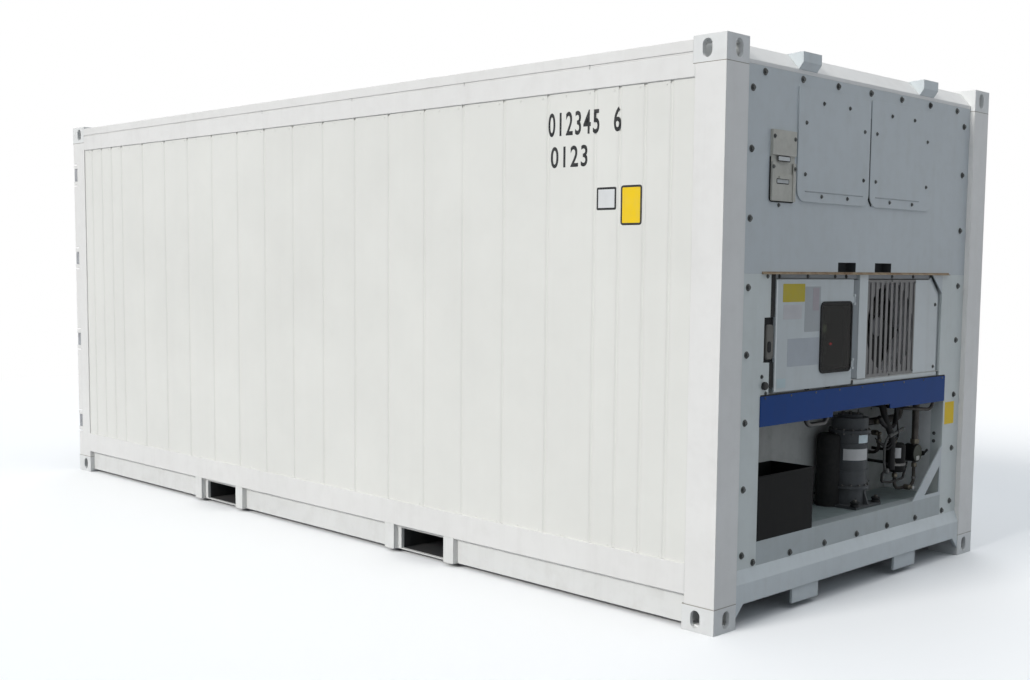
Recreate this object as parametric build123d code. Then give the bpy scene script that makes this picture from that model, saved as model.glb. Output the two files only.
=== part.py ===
from build123d import *
import math
import os

# Insulated shipping container with a built-in cooling unit, in millimetres.
# Origin: centre of the ground rectangle. +X: machinery end, -X: door end, +Z: up.

# Outer size of the box
LENGTH = 6058.0
WIDTH = 2438.0
HEIGHT = 2591.0

# Corner castings
CAST_L = 178.0
CAST_W = 162.0
CAST_H = 118.0
CAST_PLATE = 28.0
CAST_WALL = 20.0
SLOT_L = 124.5
SLOT_W = 63.5
SLOT_IN_X = 102.5
SLOT_IN_Y = 89.5
OVAL_H = 79.5
OVAL_W = 51.0
OVAL_Z = 57.0

# Corner posts
FRONT_POST_L = 167.0
REAR_POST_BACK = 59.0
REAR_POST_W = 64.0
REAR_SKIN_T = 8.0
REAR_SKIN_IN = 6.0

# Side walls and side rails
WALL_T = 72.0
WALL_INSET = 6.0
GROOVE_W = 20.0
GROOVE_D = 6.0
GROOVE_PITCH = 304.7
GROOVE_COUNT = 16
END_GROOVE_PITCH = 150.0
END_GROOVE_COUNT = 3
ROOF_DROP = 15.0
TOP_RAIL_H = 158.0
RAIL_GROOVE_DROP = 58.0
RAIL_GROOVE = 8.0
LOW_RAIL_TOP = 296.0
LOW_RAIL_LOW = 160.0
LOW_RAIL_STEP = 14.0
WEB_INSET = 30.0
WEB_T = 6.0
WEB_FOOT = 22.0
WEB_FLANGE = 45.0

# Roof, floor and under-frame
ROOF_T = 70.0
FLOOR_TOP = 230.0
TBAR_H = 63.0
TBAR_PITCH = 46.0
TBAR_HEAD = 28.0
TBAR_SKIN = 4.0
FLOOR_T = 100.0
CROSS_W = 45.0
CROSS_PITCH = 400.0
POCKET_CENTRE = 1025.0
POCKET_W = 360.0
POCKET_SKIN = 5.0
POCKET_FOOT = 20.0
CHEEK_GAP = 30.0
CHEEK_W = 80.0

# Machinery end: sill, header and lugs
SILL_FACE = 4.0
SILL_LOW = 104.0
SILL_EDGE = 196.0
SILL_TOP = 256.0
SILL_GUSSET = 60.0
HEAD_H = 89.0
HEAD_LIP = 18.0
HEAD_SLOPE = 62.0
TOP_LUG_Y = 560.0
TOP_LUG_W = 150.0
TOP_LUG_L = 118.0
TOP_LUG_H = 46.0
TOP_LUG_DROP = 8.0
LOW_LUG_Y = 477.0
LOW_LUG_W = 224.0
LOW_LUG_FOOT = 28.0
LOW_LUG_L = 14.0
LOW_LUG_BACK = 14.0

# Cooling unit frame
UNIT_BACK = 27.0
UNIT_T = 70.0
BAY_TOP = 1580.0
BAY_FLOOR = 366.0
STILE_TOP_W = 247.0
STILE_LOW_W = 182.0
BAY_STEP_Z = 960.0
BAY_DEPTH = 342.0
BAY_WALL = 60.0
NOTCH_IN = 46.0
NOTCH_LOW = 1180.0
NOTCH_TOP = 1384.0
LINER_GAP = 40.0
LINER_T = 20.0
LINER_AIR_GAP = 100.0
FORK_SLOT_Y = 172.0
FORK_SLOT_W = 162.0
FORK_SLOT_H = 46.0
FORK_SLOT_Z = 1613.0
FORK_SLOT_D = 55.0
ACCESS_W = 629.0
ACCESS_GAP = 12.0
ACCESS_H = 518.0
ACCESS_DROP = 57.0
ACCESS_T = 7.0
ACCESS_R = 60.0
CORNER_PLATE_T = 6.0
CORNER_PLATE_Y = 110.0
CORNER_PLATE_Z = 100.0

# Fresh air vent
VENT_Y = -752.0
VENT_W = 186.0
VENT_H = 314.0
VENT_DROP = 267.0
VENT_T = 6.0
VENT_RAIL = 12.0
VENT_RAIL_T = 9.0
VENT_LIP = 4.0
SLIDE_H = 122.0
SLIDE_T = 4.0
SLIDE_PLAY = 0.5
SLIDE_TRAVEL = 50.0
VENT_HOLE_R = 40.0

# Control box
BOX_GAP = 42.0
BOX_RIGHT = -100.0
BOX_LOW = 1040.0
BOX_TOP = 1556.0
BOX_D = 230.0
BOX_WALL = 4.0
DOOR_PLATE = 12.0
DOOR_FACE = 2.0
DOOR_PLAY = 5.0
PIN_REACH = 16.0
PIN_R = 4.0
KNUCKLE_R = 7.0
KNUCKLE_H = 30.0
LUG_H = 12.0
BOX_HINGE_IN = 100.0
WINDOW_LEFT = -388.0
WINDOW_RIGHT = -116.0
WINDOW_LOW = 1112.0
WINDOW_TOP = 1444.0
WINDOW_T = 4.0
WINDOW_RIM = 16.0
WINDOW_R = 26.0
PANEL_T = 10.0

# Condenser fan
FAN_Y = 288.0
FAN_Z = 1310.0
FAN_BOX = 488.0
FAN_BOX_D = 70.0
FAN_PLATE = 3.0
FAN_HOLE_R = 236.0
RING_T = 4.0
RING_L = 50.0
BLADE_GAP = 10.0
BLADE_T = 4.0
BLADE_COUNT = 5
BLADE_ANGLE = 28.0
BLADE_CHORD = 110.0
BLADE_ROOT_R = 31.0
HUB_R = 62.0
HUB_L = 44.0
HUB_BACK = 14.0
HUB_CAP = 7.0
MOTOR_GAP = 28.0
SHAFT_R = 9.0
SHAFT_PLAY = 0.3
MOTOR_R = 70.0
MOTOR_L = 110.0
ARM_W = 24.0
ARM_T = 8.0
SLAT_W = 24.0
SLAT_T = 3.0
SLAT_COUNT = 9
COIL_T = 55.0
COIL_MARGIN = 20.0

# Other pieces of the machinery bay
COLUMN_LEFT = -40.0
COLUMN_GAP = 4.0
SHELF_T = 5.0
SIDE_PANEL_T = 4.0
SIDE_PANEL_GAP = 32.0
SIDE_PANEL_CUT = 90.0
BAND_TOP = 1028.0
BAND_LOW = 890.0
BAND_RAISED = 915.0
BAND_STEP_L = -264.0
BAND_STEP_R = 287.0
BAND_T = 4.0
TRAY_RIGHT = -416.0
TRAY_TOP = 660.0
TRAY_D = 244.0
TRAY_T = 5.0
BRACE_RUN = 300.0
BRACE_RISE = 275.0
BRACE_W = 70.0
BRACE_T = 8.0
COMP_OUT = 140.0
COMP_Y = 245.0
COMP_R = 95.0
COMP_TOP = 850.0
COMP_CAP_R = 66.0
COMP_FLANGE_IN = 96.0
COMP_FOOT_T = 14.0
COMP_FOOT_R = 125.0
COMP_FLANGE_R = 108.0
COMP_FLANGE_T = 16.0
COMP_SIDE_R = 62.0
COMP_SIDE_BACK = 60.0
COMP_SIDE_LEFT = 101.0
COMP_SIDE_TOP = 745.0
TANK_R = 54.0
TANK_H = 155.0
TANK_OUT = 240.0
TANK_Y = 549.0
TANK_LOW = 521.0
TANK_REST_Z = 560.0
TANK_REST_T = 8.0
DRIER_OUT = 212.0
DRIER_R = 48.0
DRIER_L = 68.0
DRIER_Y = 722.0
DRIER_Z = 607.0
DRIER_FOOT = 14.0
DRIER_PIPE_IN = 20.0
PIPE_R = 9.0
PIPE_BEND = 40.0
PIPE_RUN = 120.0
DISCHARGE_Z = 730.0
SUCTION_R = 20.0
SUCTION_Y = 760.0
SUCTION_Z = 790.0
RISER_R = 18.0
LIQUID_Z = 425.0
HOSE_X = 2980.0
HOSE_Y = 795.0
HOSE_Z = 846.0
HOSE_BACK_X = 2930.0
HOSE_BACK_Y = 600.0
HOSE_BACK_Z = 862.0
CONDUIT_R = 12.0
CONDUIT_X = 2940.0
CONDUIT_LEFT = -398.0
CONDUIT_RIGHT = -212.0
CONDUIT_LOW = 852.0

# Door end
DOOR_GAP = 10.0
DOOR_T = 85.0
DOOR_SKIN_IN = 36.0
PIN_BACK = 14.0
EDGE_TO_PIN = 60.0
MEETING_GAP = 16.0
SEAL_OUT = 4.0
SEAL_T = 14.0
SEAL_INSET = 6.0
REAR_SILL_TOP = 205.0
REAR_SILL_FOOT = 20.0
HINGE_PIN_R = 7.0
HINGE_KNUCKLE_R = 13.0
HINGE_SHARES = (0.075, 0.352, 0.625, 0.901)
HINGE_H = 150.0
HINGE_EYE_H = 90.0
HINGE_LUG_H = 26.0
HINGE_CUT = 8.0
HINGE_PLAY = 2.0
HINGE_BLADE_T = 10.0
HINGE_BLADE_L = 260.0
HINGE_CRANK = 34.0
HINGE_CRANK_IN = 12.0
HINGE_LAP = 5.0
ROD_R = 14.0
ROD_OFF = 17.0
ROD_Y = (330.0, 900.0)
ROD_OVERLAP = 62.0
KEEPER_PLAY = 7.0
KEEPER_T = 9.0
KEEPER_H = 40.0
GUIDE_H = 40.0
GUIDE_W = 60.0
GUIDE_SHARES = (0.136, 0.416, 0.696)
INNER_HANDLE_Z = 1330.0
OUTER_HANDLE_Z = 1202.0
INNER_HANDLE_L = 430.0
OUTER_HANDLE_L = 215.0
HANDLE_H = 32.0
HANDLE_T = 8.0
HANDLE_HUB_W = 40.0

# Places worked out from the sizes above
END_X = LENGTH / 2
SIDE_Y = WIDTH / 2
CAST_X = END_X - CAST_L
CAST_Y = SIDE_Y - CAST_W
CAST_UNDER = HEIGHT - CAST_H
TOP_RAIL_TOP = HEIGHT - ROOF_DROP
TOP_RAIL_LOW = TOP_RAIL_TOP - TOP_RAIL_H
RAIL_GROOVE_Z = TOP_RAIL_TOP - RAIL_GROOVE_DROP
HEAD_LOW = TOP_RAIL_TOP - HEAD_H
TOP_LUG_TOP = HEIGHT - TOP_LUG_DROP
FRONT_POST_X = END_X - FRONT_POST_L
REAR_POST_X = -END_X + REAR_POST_BACK
REAR_SKIN_X = -END_X + REAR_SKIN_IN
FRAME_X = -CAST_X
INNER_Y = SIDE_Y - WALL_T
CEILING = TOP_RAIL_TOP - ROOF_T
UNIT_X = END_X - UNIT_BACK
UNIT_IN = UNIT_X - UNIT_T
BAY_BACK = UNIT_X - BAY_DEPTH
BAY_HALF_TOP = CAST_Y - STILE_TOP_W
BAY_HALF_LOW = CAST_Y - STILE_LOW_W
ACCESS_TOP = HEAD_LOW - ACCESS_DROP
ACCESS_LOW = ACCESS_TOP - ACCESS_H
VENT_TOP = HEAD_LOW - VENT_DROP
VENT_LOW = VENT_TOP - VENT_H
LINER_X = BAY_BACK - BAY_WALL - LINER_GAP
PIN_X = -END_X + PIN_BACK
PIN_Y = SIDE_Y - PIN_BACK
DOOR_X = PIN_X + DOOR_SKIN_IN
DOOR_IN = DOOR_X + DOOR_T
DOOR_Y = PIN_Y - EDGE_TO_PIN
DOOR_LOW = REAR_SILL_TOP + DOOR_GAP
DOOR_TOP = CAST_UNDER - DOOR_GAP
HINGE_Z = [DOOR_LOW + share * (DOOR_TOP - DOOR_LOW) for share in HINGE_SHARES]
GUIDE_Z = [DOOR_LOW + share * (DOOR_TOP - DOOR_LOW) for share in GUIDE_SHARES]
POCKET_LOW = POCKET_FOOT + POCKET_SKIN
BOX_LEFT = BOX_GAP - BAY_HALF_TOP
BOX_DOOR_X = UNIT_X - DOOR_FACE
BOX_PIN_X = BOX_DOOR_X - DOOR_PLATE / 2
BOX_PIN_Y = BOX_RIGHT + PIN_REACH
BOX_FRONT = BOX_DOOR_X - DOOR_PLATE - DOOR_PLAY
FAN_FRONT = UNIT_X - DOOR_PLATE
FAN_PLATE_X = FAN_FRONT - FAN_BOX_D
FAN_LOW = FAN_Z - FAN_BOX / 2
FAN_TOP = FAN_Z + FAN_BOX / 2
FAN_LEFT = FAN_Y - FAN_BOX / 2
FAN_RIGHT = FAN_Y + FAN_BOX / 2
HUB_X = FAN_PLATE_X - HUB_BACK
SIDE_PANEL_RIGHT = BAY_HALF_TOP - SIDE_PANEL_GAP
COMP_X = BAY_BACK + COMP_OUT
TANK_X = BAY_BACK + TANK_OUT
DRIER_X = BAY_BACK + DRIER_OUT
SHELF_LOW = FAN_LOW - 2 * SHELF_T
ROD_X = PIN_X + ROD_OFF


def block(x0, x1, y0, y1, z0, z1):
    """A box between two corners."""
    centre = Pos((x0 + x1) / 2, (y0 + y1) / 2, (z0 + z1) / 2)
    return centre * Box(abs(x1 - x0), abs(y1 - y0), abs(z1 - z0))


def disc(x, y, z, radius, length, axis="Z"):
    """A cylinder that starts at a point and runs along +X, +Y or +Z."""
    align = (Align.CENTER, Align.CENTER, Align.MIN)
    turn = {"X": Rot(0, 90, 0), "Y": Rot(-90, 0, 0), "Z": Rot(0, 0, 0)}[axis]
    return Pos(x, y, z) * turn * Cylinder(radius, length, align=align)


def along_x(points, x0, x1):
    """A straight bar along X whose section is a polygon of (y, z) points."""
    face = make_face(Polyline(*[(x0, y, z) for y, z in points], close=True))
    return extrude(face, amount=x1 - x0, dir=(1, 0, 0))


def along_y(points, y0, y1):
    """A straight bar along Y whose section is a polygon of (x, z) points."""
    face = make_face(Polyline(*[(x, y0, z) for x, z in points], close=True))
    return extrude(face, amount=y1 - y0, dir=(0, 1, 0))


def along_z(points, z0, z1):
    """An upright bar whose section is a polygon of (x, y) points."""
    face = make_face(Polyline(*[(x, y, z0) for x, y in points], close=True))
    return extrude(face, amount=z1 - z0, dir=(0, 0, 1))


def both_sides(shape):
    """A shape and its mirror image on the other side of the container."""
    return [shape, mirror(shape, Plane.XZ)]


def oval_x(x, y, z, length):
    """The upright rounded aperture of a casting, cut along X."""
    half = (OVAL_H - OVAL_W) / 2
    tool = block(x, x + length, y - OVAL_W / 2, y + OVAL_W / 2, z - half, z + half)
    for dz in (-half, half):
        tool += disc(x, y, z + dz, OVAL_W / 2, length, "X")
    return tool


def oval_y(x, y, z, length):
    """The upright rounded aperture of a casting, cut along Y."""
    half = (OVAL_H - OVAL_W) / 2
    tool = block(x - OVAL_W / 2, x + OVAL_W / 2, y, y + length, z - half, z + half)
    for dz in (-half, half):
        tool += disc(x, y, z + dz, OVAL_W / 2, length, "Y")
    return tool


def slot_z(x, y, z, length):
    """The long aperture of a casting, cut along Z."""
    half = (SLOT_L - SLOT_W) / 2
    tool = block(x - half, x + half, y - SLOT_W / 2, y + SLOT_W / 2, z, z + length)
    for dx in (-half, half):
        tool += disc(x + dx, y, z, SLOT_W / 2, length)
    return tool


def bottom_casting():
    """One hollow casting at the +X, +Y bottom corner."""
    x0, y0 = CAST_X, CAST_Y
    solid = block(x0, END_X, y0, SIDE_Y, 0, CAST_H)
    far_x, far_y = END_X - CAST_WALL, SIDE_Y - CAST_WALL
    solid -= block(x0 + CAST_WALL, far_x, y0 + CAST_WALL, far_y, CAST_PLATE, CAST_H - CAST_WALL)
    slot_x, slot_y = END_X - SLOT_IN_X, SIDE_Y - SLOT_IN_Y
    solid -= slot_z(slot_x, slot_y, -1, CAST_PLATE + 2)
    solid -= oval_x(far_x - 1, slot_y, OVAL_Z, CAST_WALL + 2)
    solid -= oval_y(slot_x, far_y - 1, OVAL_Z, CAST_WALL + 2)
    return solid


def corner_castings(top):
    """Four castings, upside down at the top corners."""
    one = bottom_casting()
    if top:
        one = Pos(0, 0, HEIGHT) * mirror(one, Plane.XY)
    pair = both_sides(one)
    return pair + [mirror(c, Plane.YZ) for c in pair]


def front_corner_posts():
    """Closed steel posts between the castings of the machinery end."""
    return both_sides(block(FRONT_POST_X, END_X, CAST_Y, SIDE_Y, CAST_H, CAST_UNDER))


def hinge_lugs():
    """The post's ears above and below each hinge eye, with the pin through them."""
    ears = []
    y0, y1 = PIN_Y - HINGE_KNUCKLE_R, PIN_Y + HINGE_KNUCKLE_R
    for z in HINGE_Z:
        for side in (-1, 1):
            low = z + side * (HINGE_EYE_H / 2 + HINGE_PLAY)
            high = low + side * HINGE_LUG_H
            ears.append(block(PIN_X - HINGE_KNUCKLE_R, REAR_POST_X, y0, y1, low, high))
        reach = HINGE_EYE_H / 2 + HINGE_PLAY + HINGE_LUG_H
        ears.append(disc(PIN_X, PIN_Y, z - reach, HINGE_PIN_R, 2 * reach))
    return ears


def rear_corner_posts():
    """Posts of the door end. A skin covers the hinge side and is cut away at each hinge."""
    post = block(REAR_POST_X, FRAME_X, SIDE_Y - REAR_POST_W, SIDE_Y, CAST_H, CAST_UNDER)
    skin = block(REAR_SKIN_X, REAR_POST_X, SIDE_Y - REAR_SKIN_T, SIDE_Y, CAST_H, CAST_UNDER)
    reach = HINGE_H / 2 + HINGE_CUT
    for z in HINGE_Z:
        skin -= block(REAR_SKIN_X, REAR_POST_X, SIDE_Y - REAR_SKIN_T, SIDE_Y, z - reach, z + reach)
    return both_sides(post + skin + hinge_lugs())


def top_side_rails():
    """Upper rails, with the long groove under the roof edge."""
    rail = block(-CAST_X, CAST_X, INNER_Y, SIDE_Y, TOP_RAIL_LOW, TOP_RAIL_TOP)
    low, high = RAIL_GROOVE_Z, RAIL_GROOVE_Z + RAIL_GROOVE
    rail -= block(-END_X, END_X, SIDE_Y - RAIL_GROOVE, SIDE_Y + 1, low, high)
    rail += block(CAST_X, FRONT_POST_X, INNER_Y, SIDE_Y, TOP_RAIL_LOW, CAST_UNDER)
    return both_sides(rail)


def bottom_side_rails():
    """Lower rails that stand flush with the posts above a recessed web."""
    step = LOW_RAIL_LOW - LOW_RAIL_STEP
    points = [
        (SIDE_Y, LOW_RAIL_TOP),
        (SIDE_Y, LOW_RAIL_LOW),
        (SIDE_Y - WEB_INSET, step),
        (INNER_Y, step),
        (INNER_Y, LOW_RAIL_TOP),
    ]
    return both_sides(along_x(points, FRAME_X, FRONT_POST_X))


def bottom_rail_webs():
    """Recessed steel webs with a foot flange, between castings and fork pockets."""
    edge = POCKET_W / 2 + CHEEK_GAP + CHEEK_W
    top = LOW_RAIL_LOW - LOW_RAIL_STEP
    outer = SIDE_Y - WEB_INSET
    inner = outer - WEB_FLANGE
    points = [
        (outer, top),
        (outer, WEB_FOOT),
        (inner, WEB_FOOT),
        (inner, WEB_FOOT + WEB_T),
        (outer - WEB_T, WEB_FOOT + WEB_T),
        (outer - WEB_T, top),
    ]
    webs = []
    for x0, x1 in (
        (-CAST_X, -POCKET_CENTRE - edge),
        (-POCKET_CENTRE + edge, POCKET_CENTRE - edge),
        (POCKET_CENTRE + edge, CAST_X),
    ):
        webs += both_sides(along_x(points, x0, x1))
    return webs


def fork_pockets():
    """Two steel tunnels right across the floor, each with flush cheek plates."""
    pockets = []
    top = LOW_RAIL_LOW - LOW_RAIL_STEP
    end = SIDE_Y - WEB_INSET
    half = POCKET_W / 2
    for centre in (-POCKET_CENTRE, POCKET_CENTRE):
        skin = half + POCKET_SKIN
        body = block(centre - skin, centre + skin, -end, end, POCKET_FOOT, top)
        body -= block(centre - half, centre + half, -SIDE_Y, SIDE_Y, POCKET_LOW, top - POCKET_SKIN)
        for side in (-1, 1):
            near = centre + side * (half + CHEEK_GAP)
            far = near + side * CHEEK_W
            sheet = block(centre + side * half, far, end - WEB_T, end, POCKET_FOOT, top)
            wedge = [(end, top), (SIDE_Y, top), (SIDE_Y, LOW_RAIL_LOW)]
            lip = along_x(wedge, min(near, far), max(near, far))
            cheek = block(near, far, end, SIDE_Y, POCKET_FOOT, top) + lip
            for piece in (sheet, cheek):
                body += piece
                body += mirror(piece, Plane.XZ)
        pockets.append(body)
    return pockets


def cross_members():
    """Steel channels across the floor, between the side webs."""
    top = FLOOR_TOP - TBAR_H - FLOOR_T
    end = SIDE_Y - WEB_INSET - WEB_T
    low = WEB_FOOT + WEB_T
    count = int((CAST_X - POCKET_CENTRE) // CROSS_PITCH)
    places = [0.0, -CROSS_PITCH, CROSS_PITCH]
    for i in range(1, count + 1):
        x = POCKET_CENTRE + POCKET_W / 2 + i * CROSS_PITCH - CROSS_W
        places += [x, -x]
    beams = []
    for x in places:
        left, right = x - CROSS_W / 2, x + CROSS_W / 2
        points = [
            (left, top),
            (right, top),
            (right, top - WEB_T),
            (left + WEB_T, top - WEB_T),
            (left + WEB_T, low + WEB_T),
            (right, low + WEB_T),
            (right, low),
            (left, low),
        ]
        beams.append(along_y(points, -end, end))
    return beams


def side_walls():
    """Foam-filled walls whose outer skin has upright pressed grooves."""
    skin = SIDE_Y - WALL_INSET
    wall = block(FRAME_X, FRONT_POST_X, INNER_Y, skin, LOW_RAIL_TOP, TOP_RAIL_LOW)
    last = GROOVE_PITCH * (GROOVE_COUNT - 1) / 2
    places = [-last + i * GROOVE_PITCH for i in range(GROOVE_COUNT)]
    for i in range(1, END_GROOVE_COUNT + 1):
        places += [last + i * END_GROOVE_PITCH, -last - i * END_GROOVE_PITCH]
    for x in places:
        half = GROOVE_W / 2
        wall -= block(x - half, x + half, skin - GROOVE_D, SIDE_Y, LOW_RAIL_TOP - 1, TOP_RAIL_LOW + 1)
    return both_sides(wall)


def roof_panel():
    """Foam-filled roof between the side rails."""
    return [block(-CAST_X, CAST_X, -INNER_Y, INNER_Y, CEILING, TOP_RAIL_TOP)]


def floor_panel():
    """Foam-filled floor between the bottom rails."""
    top = FLOOR_TOP - TBAR_H
    low = top - FLOOR_T
    panel = block(FRAME_X, CAST_X, -INNER_Y, INNER_Y, low, top)
    for centre in (-POCKET_CENTRE, POCKET_CENTRE):
        half = POCKET_W / 2 + POCKET_SKIN
        panel -= block(centre - half, centre + half, -SIDE_Y, SIDE_Y, low - 1, LOW_RAIL_LOW - LOW_RAIL_STEP)
    return [panel]


def t_bar_floor():
    """Extruded aluminium floor with T-shaped ribs along the container."""
    low = FLOOR_TOP - TBAR_H
    skin = block(FRAME_X, LINER_X, -INNER_Y, INNER_Y, low, low + TBAR_SKIN)
    count = int((2 * INNER_Y - TBAR_HEAD) // TBAR_PITCH)
    ribs = []
    for i in range(count + 1):
        y = (i - count / 2) * TBAR_PITCH
        stem, head = TBAR_SKIN / 2, TBAR_HEAD / 2
        neck = FLOOR_TOP - TBAR_SKIN
        points = [
            (y - stem, low + TBAR_SKIN),
            (y + stem, low + TBAR_SKIN),
            (y + stem, neck),
            (y + head, neck),
            (y + head, FLOOR_TOP),
            (y - head, FLOOR_TOP),
            (y - head, neck),
            (y - stem, neck),
        ]
        ribs.append(along_x(points, FRAME_X, LINER_X))
    return [skin + ribs]


def front_bottom_rail():
    """Sill of the machinery end, with a sloped top and two small gussets."""
    face = END_X - SILL_FACE
    points = [
        (face, SILL_LOW),
        (face, SILL_EDGE),
        (UNIT_X, SILL_TOP),
        (CAST_X, SILL_TOP),
        (CAST_X, SILL_LOW),
    ]
    sill = along_y(points, -CAST_Y, CAST_Y)
    gusset = along_x(
        [(CAST_Y, SILL_LOW), (CAST_Y - SILL_GUSSET, SILL_LOW), (CAST_Y, SILL_LOW - SILL_GUSSET)],
        face - CAST_WALL,
        face,
    )
    return [sill + both_sides(gusset)]


def front_top_rail():
    """Header of the machinery end, between the top castings, with a sloped face."""
    points = [
        (CAST_X, HEAD_LOW),
        (CAST_X, TOP_RAIL_TOP),
        (UNIT_X - HEAD_SLOPE, TOP_RAIL_TOP),
        (UNIT_X, HEAD_LOW + HEAD_LIP),
        (UNIT_X, HEAD_LOW),
    ]
    return [along_y(points, -CAST_Y, CAST_Y)]


def lashing_lugs():
    """Two wedge lugs on the header's slope and two box lugs under the sill."""
    face = END_X - SILL_FACE
    points = [
        (UNIT_X, HEAD_LOW + HEAD_LIP),
        (face, TOP_LUG_TOP - TOP_LUG_H),
        (face, TOP_LUG_TOP),
        (UNIT_X, TOP_LUG_TOP),
        (face - TOP_LUG_L, TOP_RAIL_TOP),
        (UNIT_X - HEAD_SLOPE, TOP_RAIL_TOP),
    ]
    y0, y1 = TOP_LUG_Y - TOP_LUG_W / 2, TOP_LUG_Y + TOP_LUG_W / 2
    upper = along_y(points, y0, y1)
    y0, y1 = LOW_LUG_Y - LOW_LUG_W / 2, LOW_LUG_Y + LOW_LUG_W / 2
    face = END_X - LOW_LUG_BACK
    lower = block(face - LOW_LUG_L, face, y0, y1, LOW_LUG_FOOT, SILL_LOW)
    return both_sides(upper) + both_sides(lower)


def unit_upper_panel():
    """Insulated front of the cooling unit above the machinery bay."""
    panel = block(UNIT_IN, UNIT_X, -CAST_Y, CAST_Y, BAY_TOP, HEAD_LOW)
    low, high = FORK_SLOT_Z - FORK_SLOT_H / 2, FORK_SLOT_Z + FORK_SLOT_H / 2
    for side in (-1, 1):
        y0 = side * FORK_SLOT_Y - FORK_SLOT_W / 2
        panel -= block(UNIT_X - FORK_SLOT_D, UNIT_X + 1, y0, y0 + FORK_SLOT_W, low, high)
    return [panel]


def unit_stiles():
    """Insulated uprights beside the bay, the left one with a service notch."""
    points = [
        (CAST_Y, SILL_TOP),
        (CAST_Y, BAY_TOP),
        (BAY_HALF_TOP, BAY_TOP),
        (BAY_HALF_TOP, BAY_STEP_Z),
        (BAY_HALF_LOW, BAY_STEP_Z),
        (BAY_HALF_LOW, SILL_TOP),
    ]
    right = along_x(points, UNIT_IN, UNIT_X)
    left = mirror(right, Plane.XZ)
    y0, y1 = -BAY_HALF_TOP - NOTCH_IN, -BAY_HALF_TOP + 1
    left -= block(UNIT_IN - 1, UNIT_X + 1, y0, y1, NOTCH_LOW, NOTCH_TOP)
    return [left, right]


def unit_lower_strip():
    """Insulated strip under the bay opening."""
    return [block(UNIT_IN, UNIT_X, -BAY_HALF_LOW, BAY_HALF_LOW, SILL_TOP, BAY_FLOOR)]


def bay_back():
    """Insulated back wall of the machinery bay, up to the roof."""
    low = FLOOR_TOP - TBAR_H
    return [block(BAY_BACK - BAY_WALL, BAY_BACK, -INNER_Y, INNER_Y, low, BAY_TOP + BAY_WALL)]


def bay_sides():
    """Insulated cheeks of the machinery bay."""
    return both_sides(block(BAY_BACK, UNIT_IN, BAY_HALF_LOW, CAST_Y, BAY_FLOOR, BAY_TOP))


def bay_floor_and_ceiling():
    """Insulated floor and ceiling of the machinery bay."""
    floor = block(BAY_BACK, UNIT_IN, -CAST_Y, CAST_Y, BAY_FLOOR - BAY_WALL, BAY_FLOOR)
    ceiling = block(BAY_BACK, UNIT_IN, -CAST_Y, CAST_Y, BAY_TOP, BAY_TOP + BAY_WALL)
    return [floor, ceiling]


def air_liner():
    """Thin inner wall that guides the air between cargo and cooling unit."""
    top = CEILING - LINER_AIR_GAP
    return [block(LINER_X, LINER_X + LINER_T, -INNER_Y, INNER_Y, FLOOR_TOP, top)]


def bay_corner_plate():
    """Three-cornered plate at the top right of the bay."""
    points = [
        (BAY_HALF_TOP, BAY_TOP),
        (BAY_HALF_TOP - CORNER_PLATE_Y, BAY_TOP),
        (BAY_HALF_TOP, BAY_TOP - CORNER_PLATE_Z),
    ]
    return [along_x(points, UNIT_X - CORNER_PLATE_T, UNIT_X)]


def access_panels():
    """Two bolted plates over the evaporator, rounded at the bottom."""
    inner = ACCESS_GAP / 2
    outer = inner + ACCESS_W
    plate = block(UNIT_X, UNIT_X + ACCESS_T, inner, outer, ACCESS_LOW, ACCESS_TOP)
    low_edges = plate.edges().filter_by(Axis.X).sort_by(Axis.Z)[:2]
    return both_sides(fillet(low_edges, ACCESS_R))


def vent_housing():
    """Fresh air plate with guide strips and a fixed upper cover."""
    half = VENT_W / 2
    front = UNIT_X + VENT_T
    plate = block(UNIT_X, front, VENT_Y - half, VENT_Y + half, VENT_LOW, VENT_TOP)
    plate -= disc(UNIT_X - 1, VENT_Y, VENT_LOW + SLIDE_H / 2, VENT_HOLE_R, VENT_T + 2, "X")
    top = VENT_LOW + SLIDE_H + SLIDE_TRAVEL
    lip = SLIDE_T + 2 * SLIDE_PLAY
    for side in (-1, 1):
        edge = VENT_Y + side * half
        inner = edge - side * VENT_RAIL
        plate += block(front, front + lip, edge, inner, VENT_LOW, top)
        inner -= side * VENT_RAIL_T
        plate += block(front + lip, front + lip + VENT_LIP, edge, inner, VENT_LOW, top)
    low = top + SLIDE_H / 4
    upper = block(front, front + VENT_RAIL_T, VENT_Y - half, VENT_Y + half, low, VENT_TOP)
    return [plate + upper]


def vent_slide():
    """Sliding shutter of the fresh air vent, with its pull."""
    half = VENT_W / 2 - VENT_RAIL - SLIDE_PLAY
    x0 = UNIT_X + VENT_T + SLIDE_PLAY
    plate = block(x0, x0 + SLIDE_T, VENT_Y - half, VENT_Y + half, VENT_LOW, VENT_LOW + SLIDE_H)
    z = VENT_LOW + SLIDE_H - 2 * VENT_RAIL
    x1 = x0 + SLIDE_T
    y0, y1 = VENT_Y - half / 2, VENT_Y + half / 2
    return [plate + block(x1, x1 + VENT_RAIL_T, y0, y1, z, z + VENT_RAIL)]


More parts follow.
